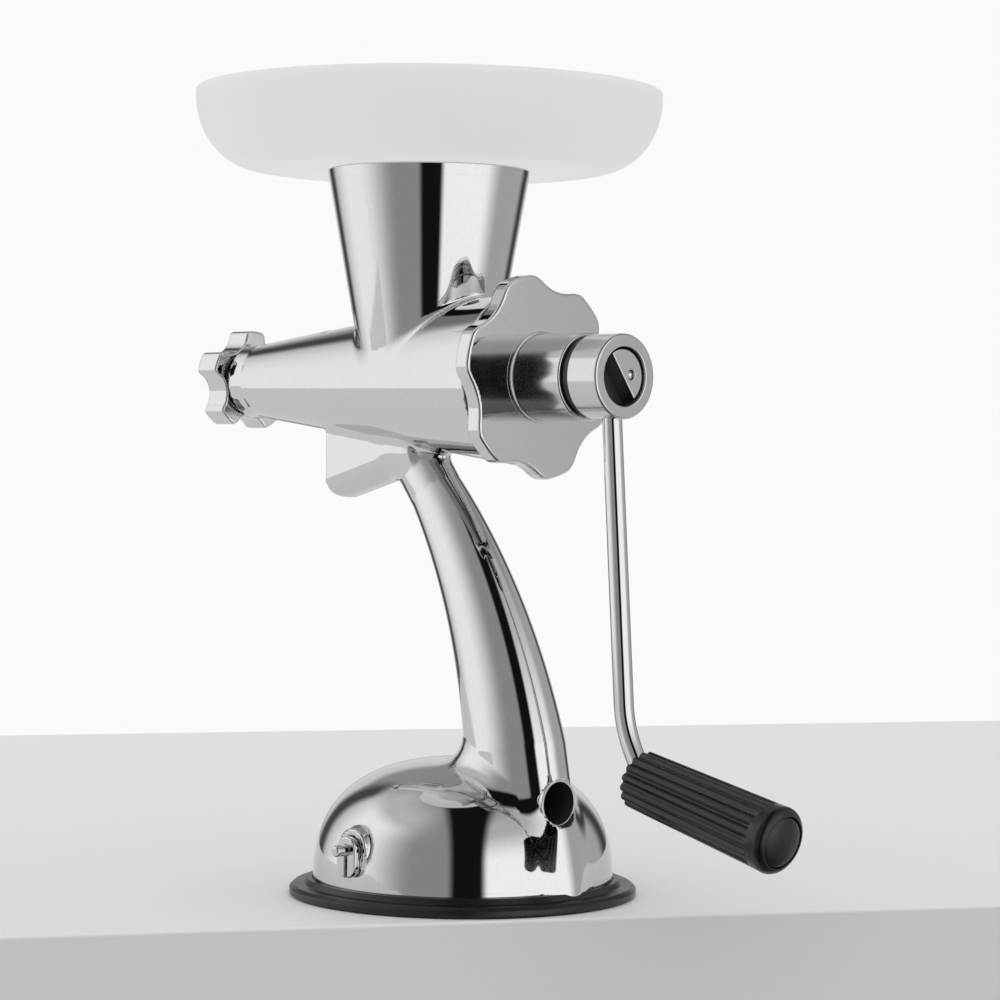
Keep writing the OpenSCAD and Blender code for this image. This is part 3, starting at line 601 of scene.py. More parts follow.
def neck_field(x, y, z):
    """Neck that tapers along an arc, a little deeper than it is wide.
    Returns its distance and how far a point faces the front."""
    dx, dz = x - NECK_CENTRE[0], z - NECK_CENTRE[1]
    lean = np.clip(np.arctan2(dz, dx), LEAN_LOW, LEAN_HIGH)
    front = dx * np.cos(lean) + dz * np.sin(lean) - NECK_BEND
    share = (lean - LEAN_LOW) / (LEAN_HIGH - LEAN_LOW)
    deep, wide = front / (1 + NECK_OVAL), y / (1 - NECK_OVAL)
    level = np.maximum(np.hypot(deep, wide), NECK_CORE)
    slope = np.hypot(deep / (1 + NECK_OVAL), wide / (1 - NECK_OVAL)) / level
    radius = NECK_FOOT_R + (NECK_TOP_R - NECK_FOOT_R) * share
    return (level - radius) / np.maximum(slope, LEAST_SLOPE), deep / level


print("the neck bends round", NECK_CENTRE.round(1))

# %% Fields of the barrel, the throat and the spout
EDGE = 0.7


def cone_x(x, y, z, x0, r0, x1, r1, edge):
    """Cone along the barrel's axis between two stations."""
    rise = (r1 - r0) / (x1 - x0)
    wall = (np.hypot(y, z - AXIS_Z) - r0 - rise * (x - x0)) / math.hypot(1, rise)
    return keep(wall, np.maximum(x0 - x, x - x1), edge)


def barrel_cone(x, y, z):
    """The barrel's outside, slim at its small end."""
    return cone_x(x, y, z, NOSE_X, SLIM_R, FACE_X, BIG_R, EDGE)


def chamber_r(x):
    """Radius of the barrel's chamber at a station."""
    return CHAMBER_SMALL_R + (CHAMBER_BIG_R - CHAMBER_SMALL_R) * (x - NOSE_X) / BARREL_LONG


def trough(x, y, z, r, low, corner, edge):
    """U-shaped channel that rises along the barrel, with a rounded lower corner at its mouth."""
    along = x - SPOUT_X
    h = (z - low) * math.cos(SPOUT_SLOPE) - along * math.sin(SPOUT_SLOPE) - r
    outline = keep(-h - r, -along, corner)
    return keep(np.hypot(y, np.minimum(h, 0)) - r, outline, edge)


def throat_field(x, y, z, inset):
    """Cone of the feed throat, moved in by a wall."""
    wall = np.hypot(x - THROAT_X, y) - THROAT_LOW_R - THROAT_RISE * (z - AXIS_Z)
    return wall / math.hypot(1, THROAT_RISE) + inset


print("the chamber ends with a radius of", round(chamber_r(CHAMBER_END_X), 1), "mm")

# %% The outside of the casting
BACK_FILLET, FRONT_FILLET = 12, 4.5
FILLET_MIDDLE, FILLET_TURN = 0.5, 0.9
NECK_TOP_FILLET = 5
THROAT_FILLET = 2.2
SPOUT_FILLET, SPOUT_CORNER = 3, 7.5
BOSS_FILLET, BOSS_DEPTH = 1.5, 12
NOSE_LAP = 1


def outside(x, y, z):
    """The foot, neck, barrel, throat and spout without their hollows."""
    neck, facing = neck_field(x, y, z)
    neck = keep(neck, z - AXIS_Z, EDGE)
    dome = keep(dome_field(x, y, z, DOME_R, DOME_TOP), DOME_LOW - z, EDGE)
    backward = np.clip(FILLET_MIDDLE - FILLET_TURN * facing, 0, 1)
    base = join(dome, neck, FRONT_FILLET + (BACK_FILLET - FRONT_FILLET) * backward)
    boss = keep(np.hypot(x, z - CAM_Z) - CAM_BOSS_R, np.abs(y) - DOME_R, EDGE)
    base = join(base, np.maximum(boss, DOME_R - BOSS_DEPTH - np.abs(y)), BOSS_FILLET)
    collar = cone_x(x, y, z, NOSE_X, NOSE_COLLAR_R, NOSE_X + NOSE_COLLAR_LONG, NOSE_COLLAR_R, EDGE)
    nose = cone_x(x, y, z, NOSE_END_X, NOSE_R, NOSE_X + NOSE_LAP, NOSE_R, EDGE)
    barrel = join(np.minimum(barrel_cone(x, y, z), collar), nose, EDGE)
    throat = keep(throat_field(x, y, z, 0), np.maximum(z - THROAT_TOP, AXIS_Z - z), EDGE)
    spout = trough(x, y, z, SPOUT_R, SPOUT_LOW, SPOUT_CORNER, EDGE)
    spout = keep(spout, np.maximum(z - AXIS_Z, x - THROAT_X), EDGE)
    upper = join(join(barrel, throat, THROAT_FILLET), spout, SPOUT_FILLET)
    return join(base, upper, NECK_TOP_FILLET)


print("on the axis the outside is", round(-float(outside(0, 0, AXIS_Z)), 1), "mm away")

# %% The hollows of the casting
PAST = 5
BORE_GAP = 0.05
CHANNEL_R = SPOUT_R - SPOUT_WALL
CHANNEL_LOW = SPOUT_LOW + SPOUT_WALL - PAST * math.tan(SPOUT_SLOPE)
SOCKET_END_X = SOCKET_X - SOCKET_DEPTH


def foot_hollows(x, y, z):
    """The dome's inside, which leaves a tube round the socket, the socket and the shaft's bores."""
    tube = np.hypot(y, z - SOCKET_Z)
    dome = dome_field(x, y, z, DOME_R - DOME_WALL, DOME_TOP - DOME_WALL)
    dome = np.maximum(dome, np.minimum(SOCKET_R + SOCKET_WALL - tube, x - SOCKET_END_X + SOCKET_WALL))
    socket = np.maximum(tube - SOCKET_R - LIP_WALL / 2, SOCKET_END_X - x)
    shaft = np.hypot(x, z - CAM_Z) - CAM_SHAFT_R - BORE_GAP
    shaft = np.maximum(shaft, DOME_R - 2 * BOSS_DEPTH - np.abs(y))
    return np.minimum(np.minimum(dome, socket), shaft)


def barrel_hollows(x, y, z):
    """The chamber, the pulp outlet, the cap's seat, the feed, the juice slot and the spout's channel."""
    mouth_x = FACE_X + PAST
    chamber = cone_x(x, y, z, CHAMBER_END_X, chamber_r(CHAMBER_END_X), mouth_x, chamber_r(mouth_x), EDGE)
    outlet = cone_x(x, y, z, NOSE_END_X - PAST, OUTLET_R, CHAMBER_END_X + PAST, OUTLET_R, EDGE)
    plug = cone_x(x, y, z, PLUG_X, PLUG_R, mouth_x, PLUG_R, EDGE)
    feed = np.maximum(throat_field(x, y, z, THROAT_WALL), AXIS_Z - z)
    slot = np.maximum(np.abs(y) - CHANNEL_R, np.maximum(SLOT_X[0] - x, x - SLOT_X[1]))
    slot = np.maximum(slot, np.maximum(z - AXIS_Z, SPOUT_LOW + 2 * SPOUT_R - z))
    channel = trough(x + PAST, y, z, CHANNEL_R, CHANNEL_LOW, EDGE, EDGE)
    channel = np.maximum(channel, np.maximum(x - SLOT_X[1], -barrel_cone(x, y, z)))
    for part in (outlet, plug, feed, slot, channel):
        chamber = np.minimum(chamber, part)
    return chamber


print("on the axis the chamber's wall is", round(-float(barrel_hollows(0, 0, AXIS_Z)), 1), "mm away")

# %% Cast the body
# How far inside the polished skin the painted shade of the hollows begins
SHADE_MARGIN = 1.2


def hollows(x, y, z):
    """All the hollows of the casting."""
    return np.minimum(foot_hollows(x, y, z), barrel_hollows(x, y, z))


def body_field(x, y, z):
    """The casting."""
    return cut(outside(x, y, z), hollows(x, y, z), EDGE)


def painted_shade_hollows(x, y, z):
    """The hollows that get painted shade, kept clear of the polished skin and of every edge that shows."""
    return np.maximum(hollows(x, y, z), outside(x, y, z) + SHADE_MARGIN)


BODY_STEP = 1.2
FOOT_BOX = ((-66, -66, 4), (68, 66, 66))
NECK_BOX = ((-45, -32, 60), (60, 32, 190))
BARREL_BOX = ((-150, -44, 150), (40, 44, 260))
THROAT_BOX = ((-72, -48, 250), (24, 48, 305))
body_cast = cast(body_field, [FOOT_BOX, NECK_BOX, BARREL_BOX, THROAT_BOX], BODY_STEP)
body_nodes = ("base_dome", "neck_root", "neck", "barrel", "throat", "juice_spout", "cam_bushes")
# Faces in the casting's hollows get the painted shade
add_piece("body_casting", *body_cast, "body", "polished_steel", body_nodes, painted_shade_hollows)

# %% [markdown]
# ## Rims of the casting
# Three rims are finer than the grid of the casting: the lip round the clamp socket, the throat's top edge
# and the dome's foot. Each is turned as a thin ring that lies on the casting, so its edge is a clean line.

# %% Socket lip
SOCKET_LIP = 6
lip_back, lip_r = SOCKET_X - SOCKET_LIP, SOCKET_R + LIP_WALL
socket_profile = rounded([(SOCKET_R, lip_back, 0.2), (lip_r, lip_back, 0.2),
                          (lip_r, SOCKET_X, 0.55), (SOCKET_R, SOCKET_X, 0.35)])


def socket_bore(x, y, z):
    """The socket behind its polished edge."""
    return np.maximum(np.hypot(y, z - SOCKET_Z) - SOCKET_R, x - SOCKET_X + 2 * EDGE)


# Faces of the bore behind the lip get the painted shade
add_piece("socket_lip", *turned(socket_profile, (0, 0, SOCKET_Z), ALONG_X), "body", "polished_steel",
          hollow=socket_bore)

# %% Throat rim
RIM_PROUD, RIM_TALL, RIM_EDGE = 0.06, 5, 0.5
rim_low = THROAT_TOP - RIM_TALL
rim_low_r = THROAT_R - RIM_TALL * THROAT_RISE
rim_profile = rounded([(rim_low_r - THROAT_WALL, rim_low, RIM_PROUD),
                       (rim_low_r + RIM_PROUD, rim_low, RIM_PROUD / 2),
                       (THROAT_R + RIM_PROUD, THROAT_TOP, RIM_EDGE),
                       (THROAT_R - THROAT_WALL, THROAT_TOP, RIM_EDGE)])
add_piece("throat_rim", *turned(rim_profile, (THROAT_X, 0, 0), UP_Z, FINE_SIDES), "body", "polished_steel")

# %% Dome foot
FOOT_TALL = 2.4
foot_high = DOME_LOW + FOOT_TALL
foot_profile = rounded([(DOME_R - DOME_WALL, DOME_LOW, RIM_EDGE), (DOME_R + RIM_PROUD, DOME_LOW, RIM_PROUD),
                        (DOME_R + RIM_PROUD, foot_high, RIM_PROUD / 2),
                        (DOME_R - DOME_WALL, foot_high, RIM_EDGE)])
add_piece("dome_foot", *turned(foot_profile, (0, 0, 0), UP_Z, FINE_SIDES), "body", "polished_steel")

# %% [markdown]
# ## The front cap
# The cap closes the barrel with a screw thread, and six lobes give the fingers a hold. Its plate is a
# cast field: a disc with six round bites, all edges eased. The boss that carries the crank's shaft is
# turned, with a small raised bead where it meets the plate.

# %% Lobed plates
def lobed(x, y, z, x0, x1, tip_r, hollow_r, lobes, first, bite, corner, edge):
    """Round plate across the barrel's axis, with bites round its rim."""
    h = z - AXIS_Z
    outline = np.hypot(y, h) - tip_r
    reach = hollow_r + bite
    for i in range(lobes):
        angle = math.radians(first + (i + 0.5) * 360 / lobes)
        clear = bite - np.hypot(y - reach * math.cos(angle), h - reach * math.sin(angle))
        outline = keep(outline, clear, corner)
    return keep(outline, np.maximum(x0 - x, x - x1), edge)


CAP_LOBES = {"tip_r": 41.7, "hollow_r": 36.4, "lobes": 6, "first": 45.5, "bite": 22.6,
             "corner": 3, "edge": 1.2}
KNOB_LOBES = {"tip_r": 22.4, "hollow_r": 15.8, "lobes": 5, "first": 85.5, "bite": 9.4,
              "corner": 2.2, "edge": 1.1}
print("lobes:", CAP_LOBES["lobes"], "on the cap and", KNOB_LOBES["lobes"], "on the knob")

# %% Front cap plate
cap_low, cap_high = box_mm("front_cap")
gasket_high = box_mm("cap_gasket")[1]
PLATE_THICK, PLATE_LAP = 7.5, 1
PLATE_BACK_X = gasket_high[0]
PLATE_X = PLATE_BACK_X + PLATE_THICK
BUSH_R, BUSH_EDGE = 13.6, 0.4
PLUG_OUT_R, PLUG_EDGE, PLUG_FILLET = 31.5, 0.6, 0.3
CAP_STEP, CAP_HALF = 0.75, 44


def cap_field(x, y, z):
    """The lobed plate and the plug behind it, bored for the shaft's bush."""
    plate = lobed(x, y, z, PLATE_BACK_X, PLATE_X, **CAP_LOBES)
    plug = cone_x(x, y, z, cap_low[0], PLUG_OUT_R, PLATE_BACK_X + PLATE_LAP, PLUG_OUT_R, PLUG_EDGE)
    return cut(join(plate, plug, PLUG_FILLET), np.hypot(y, z - AXIS_Z) - BUSH_R, BUSH_EDGE)


cap_boxes = [((cap_low[0] - CAST_ROOM, -CAP_HALF, AXIS_Z - CAP_HALF),
              (PLATE_X + CAST_ROOM, CAP_HALF, AXIS_Z + CAP_HALF))]
add_piece("cap_plate", *cast(cap_field, cap_boxes, CAP_STEP), "cap", "polished_steel", ("front_cap",))

# %% Front cap boss
BOSS_X, BOSS_R = cap_high[0], 17.7
BEAD, BEAD_TALL = 0.9, 1.2
ON_AXIS = (0, 0, AXIS_Z)
boss_profile = rounded([(BUSH_R, PLATE_X - PLATE_LAP, 0.2), (BOSS_R + BEAD, PLATE_X - PLATE_LAP, 0.2),
                        (BOSS_R + BEAD, PLATE_X + BEAD_TALL, 0.6), (BOSS_R, PLATE_X + BEAD_TALL, 0.3),
                        (BOSS_R, BOSS_X, 0.9), (BUSH_R, BOSS_X, 0.3)])
add_piece("cap_boss", *turned(boss_profile, ON_AXIS, ALONG_X), "cap", "polished_steel", look=TURNED_STEEL)

# %% [markdown]
# ## Washer, hub and shaft end
# A black thrust washer keeps the crank's hub off the boss. The hub is turned, with a round recess that
# shows the shaft's half-round driving end. That end is a cast field, with the centre mark left from
# turning it on a lathe.

# %% Washer and hub
WASHER_BORE = 11.3
POLE, TINY = 0.01, 0.004
HUB_R, HUB_LEN, HUB_GAP, RECESS_R = 17, 16, 0.3, 11.8
HUB_X = washer_high[0] + HUB_GAP
HUB_FRONT_X = HUB_X + HUB_LEN
RECESS_X = HUB_X + HUB_LEN / 2
washer_r = washer_high[1]
washer_profile = rounded([(WASHER_BORE, washer_low[0], 0.3), (washer_r, washer_low[0], 0.5),
                          (washer_r, washer_high[0], 0.5), (WASHER_BORE, washer_high[0], 0.3)])
add_piece("thrust_washer_ring", *turned(washer_profile, ON_AXIS, ALONG_X), "cap_carrier", "black_plastic",
          ("thrust_washer",))
hub_profile = rounded([(POLE, HUB_X, TINY), (HUB_R, HUB_X, 0.8), (HUB_R, HUB_FRONT_X, 1.1),
                       (RECESS_R, HUB_FRONT_X, 0.7), (RECESS_R, RECESS_X, 0.3), (POLE, RECESS_X, TINY)])


def hub_recess(x, y, z):
    """The recess behind its turned edge."""
    return np.maximum(np.hypot(y, z - AXIS_Z) - RECESS_R, RECESS_X - x) + (x > HUB_FRONT_X - EDGE)


# Faces of the recess behind the turned edge get the painted shade
add_piece("crank_hub_ring", *turned(hub_profile, ON_AXIS, ALONG_X), "crank", "polished_steel", ("crank_hub",),
          hub_recess, TURNED_STEEL)

# %% Round shaft
SHAFT_R, SHAFT_COLLAR = 11, 2.7
shaft_low, shaft_high = box_mm("auger_shaft")
shaft_collar_r, shaft_collar_x = shaft_high[1], shaft_low[0] + SHAFT_COLLAR
shaft_profile = rounded([(POLE, shaft_low[0], TINY), (shaft_collar_r, shaft_low[0], 0.4),
                         (shaft_collar_r, shaft_collar_x, 0.4), (SHAFT_R, shaft_collar_x, 0.3),
                         (SHAFT_R, HUB_X, 0.4), (POLE, HUB_X, TINY)])
add_piece("shaft_round", *turned(shaft_profile, ON_AXIS, ALONG_X), "crank", "plain_steel", ("auger_shaft",))

# %% Half-round shaft end
HALF_TURN = math.radians(35.7)
DRIVE_R, DRIVE_EDGE, DRIVE_LAP = 10.95, 0.5, 2
DRIVE_STEP, DRIVE_HALF = 0.35, 12
DRIVE_FRONT_X = HUB_FRONT_X - 1
MARK_R, MARK_EDGE = 2.2, 0.2
MARK_X, MARK_Y, MARK_Z = DRIVE_FRONT_X + 0.6, 4.6, 0.7


def drive_field(x, y, z):
    """Bar with a flat along its middle, and a lathe's centre mark in its face."""
    h = z - AXIS_Z
    flat = -(y * math.cos(HALF_TURN) + h * math.sin(HALF_TURN))
    bar = cone_x(x, y, z, RECESS_X - DRIVE_LAP, DRIVE_R, DRIVE_FRONT_X, DRIVE_R, DRIVE_EDGE)
    mark = np.sqrt((x - MARK_X) ** 2 + (y - MARK_Y) ** 2 + (h - MARK_Z) ** 2) - MARK_R
    return cut(keep(bar, flat, DRIVE_EDGE), mark, MARK_EDGE)


drive_boxes = [((RECESS_X - DRIVE_LAP - CAST_ROOM, -DRIVE_HALF, AXIS_Z - DRIVE_HALF),
                (HUB_FRONT_X, DRIVE_HALF, AXIS_Z + DRIVE_HALF))]
add_piece("shaft_drive_end", *cast(drive_field, drive_boxes, DRIVE_STEP), "crank", "polished_steel",
          look=TURNED_STEEL)

# %% [markdown]
# ## The crank's rod
# The crank is one bent steel rod: a long straight arm, a wide sweep, a tight elbow, and the spindle that
# the grip turns on. The path is walked in straight steps and arcs, and a ring of points is carried along.

# %% Crank rod
ROD_R = 4
ARM_TOP = (82.4, 201.48)
ARM_LEN, LINK_LEN, SPINDLE_LEN = 117, 8.2, 63.1
ARM_DIR = math.radians(-86)
SWEEP_R, SWEEP_TURN = 45, math.radians(25)
GRIP_DIR = math.radians(-13.6)
ELBOW_R = 10
ELBOW_TURN = GRIP_DIR - ARM_DIR - SWEEP_TURN
ROD_SIDES = 48
STRAIGHT_STEP, BEND_STEP = 6, math.radians(3)


def walk(start, heading, moves):
    """Points and headings in the XZ plane along straight lengths (0 turn) and arcs (length is the radius)."""
    point, path = np.array(start, float), [(*start, heading)]
    for length, turn in moves:
        steps = max(2, round(turn / BEND_STEP if turn else length / STRAIGHT_STEP))
        stride = 2 * length * math.sin(turn / steps / 2) if turn else length / steps
        for _ in range(steps):
            heading += turn / steps / 2
            point = point + stride * np.array([math.cos(heading), math.sin(heading)])
            heading += turn / steps / 2
            path.append((*point, heading))
    return path


rod_path = walk(ARM_TOP, ARM_DIR, [(ARM_LEN, 0), (SWEEP_R, SWEEP_TURN), (LINK_LEN, 0), (ELBOW_R, ELBOW_TURN)])
spindle_start = rod_path[-1]
rod_path += walk(spindle_start[:2], GRIP_DIR, [(SPINDLE_LEN, 0)])[1:]
spin = np.arange(ROD_SIDES) * 2 * math.pi / ROD_SIDES
rod_rings = [np.stack([px - ROD_R * np.cos(spin) * math.sin(way), ROD_R * np.sin(spin),
                       pz + ROD_R * np.cos(spin) * math.cos(way)], 1) for px, pz, way in rod_path]
add_piece("crank_rod", *swept([ring[::-1] for ring in rod_rings]), "crank", "polished_steel", ("crank_arm",))

# %% [markdown]
# ## The grip
# The grip is black moulded plastic with sixteen soft flutes that stop short of a smooth end. Rings of
# points run from the mouth round the rod, along the flutes, over the rounded shoulder and down to the
# seat of the end disc.

# %% Place of the grip
GRIP_LAP = 6.9
GRIP_SIDES = 320
grip_axis = np.array(Vector((math.cos(GRIP_DIR), 0, math.sin(GRIP_DIR))))
grip_origin = np.array([spindle_start[0], 0, spindle_start[1]]) - GRIP_LAP * grip_axis
grip_up = Vector((-math.sin(GRIP_DIR), 0, math.cos(GRIP_DIR)))
grip_spin = np.arange(GRIP_SIDES) * 2 * math.pi / GRIP_SIDES
grip_spokes = np.outer(np.sin(grip_spin), (0, 1, 0)) + np.outer(np.cos(grip_spin), grip_up)
print("the grip starts at", grip_origin.round(1))

# %% Flutes of the grip
GRIP_LEN, GRIP_IN_R, GRIP_OUT_R = 75.5, 11.8, 13.4
GRIP_BAND, MOUTH_IN = 7, 2
FLUTES, FLUTE_HALF, FLUTE_DEPTH = 16, 1.9, 1.25
FLUTE_FADE, MOUTH_FADE = 2.5, 1.2


def ease(t):
    """Smooth rise from 0 to 1."""
    t = np.clip(t, 0, 1)
    return t * t * (3 - 2 * t)


def grip_ring(r, s):
    """Ring of the grip at a radius and a distance from its mouth, with the flutes pressed in."""
    turn = (grip_spin * FLUTES / (2 * math.pi) + 0.5) % 1 - 0.5
    across = np.abs(turn) * 2 * math.pi * r / FLUTES
    live = ease((GRIP_LEN - GRIP_BAND - s) / FLUTE_FADE) * ease((r - GRIP_IN_R + MOUTH_IN) / MOUTH_FADE)
    radius = r - FLUTE_DEPTH * live * (1 - ease(across / FLUTE_HALF))
    return grip_origin + s * grip_axis + radius[:, None] * grip_spokes


print("flutes:", FLUTES)

# %% Grip
ROD_GAP, MOUTH_DEEP = 0.3, 6
MOUTH_SPOTS = [(MOUTH_IN, 1.0), (1.4, 0.35)]
MOUTH_ROUND, MOUTH_RINGS = 1, 6
SIDE_START, SIDE_RINGS = 1.5, 44
GRIP_ROUND, ROUND_START, ROUND_RINGS = 4, 0.05, 12
DISC_R, DISC_SEAT = 10.2, 2.5
SEAT_GAP, SEAT_SLANT, SEAT_EDGE = 0.1, 0.05, 0.5


def grip_profile():
    """Radius and distance along the grip, from inside its mouth to the disc's seat."""
    spots = [(ROD_R + ROD_GAP, MOUTH_DEEP)] + [(GRIP_IN_R - inward, s) for inward, s in MOUTH_SPOTS]
    for a in np.linspace(0, math.pi / 2, MOUTH_RINGS):
        spots.append((GRIP_IN_R - MOUTH_ROUND * (1 - math.sin(a)), MOUTH_ROUND * (1 - math.cos(a))))
    for s in np.linspace(SIDE_START, GRIP_LEN - GRIP_ROUND, SIDE_RINGS):
        spots.append((GRIP_IN_R + (GRIP_OUT_R - GRIP_IN_R) * s / GRIP_LEN, s))
    round_end = math.acos(1 - (GRIP_OUT_R - DISC_R - SEAT_GAP) / GRIP_ROUND)
    for a in np.linspace(ROUND_START, round_end, ROUND_RINGS):
        spots.append((GRIP_OUT_R - GRIP_ROUND * (1 - math.cos(a)), GRIP_LEN - GRIP_ROUND * (1 - math.sin(a))))
    return spots + [(DISC_R + SEAT_SLANT, GRIP_LEN - SEAT_EDGE), (DISC_R, GRIP_LEN - DISC_SEAT)]


grip_rings = [grip_ring(r, s)[::-1] for r, s in grip_profile()]
add_piece("grip_fluted", *swept(grip_rings, caps=False), "handle", "black_plastic", ("grip",))

# %% End disc
DISC_EDGE, DISC_CROWN, DISC_ROUND = 1.6, 2, 0.5
DISC_POLE, DISC_RINGS, DISC_SKIP = 0.02, 22, 4
disc_r, disc_start = DISC_R - SEAT_GAP, GRIP_LEN - DISC_SEAT
disc_spots = [(disc_r, disc_start), (disc_r, disc_start + DISC_EDGE - DISC_ROUND)]
for a in np.linspace(math.pi / 2, DISC_POLE, DISC_RINGS):
    disc_spots.append((disc_r * math.sin(a), disc_start + DISC_EDGE + DISC_CROWN * math.cos(a)))
disc_rings = [grip_origin + s * grip_axis + r * grip_spokes[::DISC_SKIP][::-1] for r, s in disc_spots]
add_piece("grip_end_disc", *swept(disc_rings), "handle", "black_plastic", ("grip_cap",))

# %% [markdown]
# ## The pulp knob
# Pulp leaves at the thin end of the barrel, through a five-lobed knob that screws on the nose and sets
# how hard the pulp is pressed. It is a lobed plate like the cap, bored for the nose and for the pulp.

# %% Pulp knob
knob_low, knob_high = box_mm("pulp_knob")
KNOB_HOLE_R, KNOB_HOLE_EDGE = 7.5, 0.8
KNOB_BORE_R, KNOB_BORE_FLOOR, KNOB_BORE_EDGE = NOSE_R + 0.3, 0.3, 0.4
KNOB_STEP, KNOB_HALF = 0.6, 24


def knob_field(x, y, z):
    """The star, bored for the barrel's nose and for the pulp."""
    bore = cone_x(x, y, z, NOSE_END_X, KNOB_BORE_R, NOSE_X + PAST, KNOB_BORE_R, KNOB_BORE_FLOOR)
    star = cut(lobed(x, y, z, knob_low[0], knob_high[0], **KNOB_LOBES), bore, KNOB_BORE_EDGE)
    return cut(star, np.hypot(y, z - AXIS_Z) - KNOB_HOLE_R, KNOB_HOLE_EDGE)


knob_boxes = [((knob_low[0] - CAST_ROOM, -KNOB_HALF, AXIS_Z - KNOB_HALF),
               (knob_high[0] + CAST_ROOM, KNOB_HALF, AXIS_Z + KNOB_HALF))]
knob_mesh = cast(knob_field, knob_boxes, KNOB_STEP)
add_piece("pulp_knob_star", *knob_mesh, "knob", "polished_steel", ("pulp_knob",))

# %% [markdown]
# ## The tray
# The tray is a shallow dish of frosted plastic that drops into the throat by a collar. Its profile is
# a flat floor, a wide curve up to the rim, and the same curve again inside, one wall thickness away.

# %% Tray
tray_low, tray_high = box_mm("hopper_tray")
TRAY_R, TRAY_TOP = tray_high[1:]
FLOOR_R, TRAY_WALL, TRAY_RISE = 72, 2.6, 30
TRAY_GAP, DISH_STEPS = 0.3, 16
tray_collar_r = THROAT_R - THROAT_WALL - TRAY_GAP
tray_low_r = tray_collar_r - (THROAT_TOP - tray_low[2]) * THROAT_RISE
dish_top = THROAT_TOP + TRAY_RISE


def dish(inset):
    """Corners of the dish's curve from its floor to its rim, moved in by a wall."""
    return [(FLOOR_R + (TRAY_R - FLOOR_R - inset) * math.sin(a),
             THROAT_TOP + TRAY_RISE * (1 - math.cos(a)) + inset * math.cos(a), None)
            for a in np.linspace(0, math.pi / 2, DISH_STEPS)[1:-1]]


tray_corners = [(tray_low_r - TRAY_WALL, tray_low[2], 0.7), (tray_low_r, tray_low[2], 0.7),
                (tray_collar_r, THROAT_TOP, 0.4), (FLOOR_R, THROAT_TOP, None), *dish(0),
                (TRAY_R, dish_top, None), (TRAY_R, TRAY_TOP, 1.1),
                (TRAY_R - TRAY_WALL, TRAY_TOP, 1.1), (TRAY_R - TRAY_WALL, dish_top, None),
                *reversed(dish(TRAY_WALL)), (FLOOR_R, THROAT_TOP + TRAY_WALL, None),
                (tray_collar_r - TRAY_WALL, THROAT_TOP + TRAY_WALL, 1.5)]
tray_mesh = turned(rounded(tray_corners), (THROAT_X, 0, 0), UP_Z, FINE_SIDES)
add_piece("tray_dish", *tray_mesh, "tray", "tray_plastic", ("hopper_tray",))

# %% [markdown]
# ## The suction pad
# A black rubber pad seals the dome to the table. It shows as a flat flange with a rounded rim, and a
# raised ring that hugs the dome's foot.

# %% Suction pad
PAD_R = box_mm("suction_pad")[1][0]
PAD_EDGE, PAD_LIP, PAD_SINK = 4.5, 0.5, 0.6
pad_seat, pad_lip = DOME_LOW - PAD_SINK, DOME_LOW + PAD_LIP
pad_corners = [(POLE, 0, TINY), (PAD_R - 1, 0, 0.8), (PAD_R, 1, 0.7), (PAD_R, PAD_EDGE - 1.4, 0.8),
               (PAD_R - 1.6, PAD_EDGE, 0.8), (DOME_R + 3.6, PAD_EDGE + 0.2, 0.5),
               (DOME_R + 2.4, pad_lip, 0.4), (DOME_R + 0.3, pad_lip, 0.15),
               (DOME_R + 0.3, pad_seat, 0.1), (DOME_R - 8, pad_seat, 0.5), (DOME_R - 14, PAD_EDGE, 0.5),
               (POLE, PAD_EDGE, TINY)]
pad_mesh = turned(rounded(pad_corners), (0, 0, 0), UP_Z, FINE_SIDES)
add_piece("suction_pad_moulding", *pad_mesh, "body", "black_rubber", ("suction_pad",))

# %% [markdown]
# ## The suction lock
# A shaft crosses the dome. At the far side a lever with a black tip turns it, and a cam lifts the middle
# of the pad. At the near side a keyhole link and a rounded pin close the shaft's end.

# %% Shaft end link
link_low, link_high = box_mm("shaft_link")
link_y, link_half = (link_low[1] + link_high[1]) / 2, (link_high[1] - link_low[1]) / 2
LINK_R, LINK_DROP, LINK_SLOT = 5.4, 6, 1.8
LINK_EDGE, LINK_BORE_EDGE, LINK_STEP = 0.7, 0.3, 0.4
PIN_R = 2.3


def link_field(x, y, z):
    """Plate with a round end each way, bored for the pin and slotted below it."""
    h = z - CAM_Z
    drop = np.clip(-h, 0, LINK_DROP)
    slot = np.maximum(np.abs(x) - LINK_SLOT / 2, h + PIN_R)
    plate = keep(np.hypot(x, h + drop) - LINK_R, np.abs(y - link_y) - link_half, LINK_EDGE)
    plate = cut(plate, np.hypot(x, h) - PIN_R - BORE_GAP, LINK_BORE_EDGE)
    return cut(plate, slot, LINK_BORE_EDGE)


link_boxes = [(link_low - CAST_ROOM, link_high + CAST_ROOM)]
link_mesh = cast(link_field, link_boxes, LINK_STEP)
add_piece("shaft_link_plate", *link_mesh, "lock", "polished_steel", ("shaft_link",))

# %% Shaft end pin
pin_low, pin_high = box_mm("shaft_end_pin")
PIN_ROUND, PIN_SIDES = 1.2, 64
pin_profile = rounded([(POLE, -pin_high[1], TINY), (PIN_R, -pin_high[1], 0.3),
                       (PIN_R, -pin_low[1], PIN_ROUND), (POLE, -pin_low[1], TINY)])
add_piece("shaft_end_pin_round", *turned(pin_profile, (0, 0, CAM_Z), (0, -1, 0), PIN_SIDES), "lock",
          "polished_steel", ("shaft_end_pin",))

# %% Lever
lever_low, lever_high = box_mm("suction_lever")
LEVER_T, LEVER_W, LEVER_HUB_R = 5, 8, 8.5
LEVER_LEN, LEVER_BAR = 57, 51
LEVER_REST = math.radians(10)
LEVER_FILLET, LEVER_EDGE, LEVER_BORE_EDGE, LEVER_STEP = 3, 0.8, 0.4, 0.6
lever_y = lever_low[1] + LEVER_T / 2


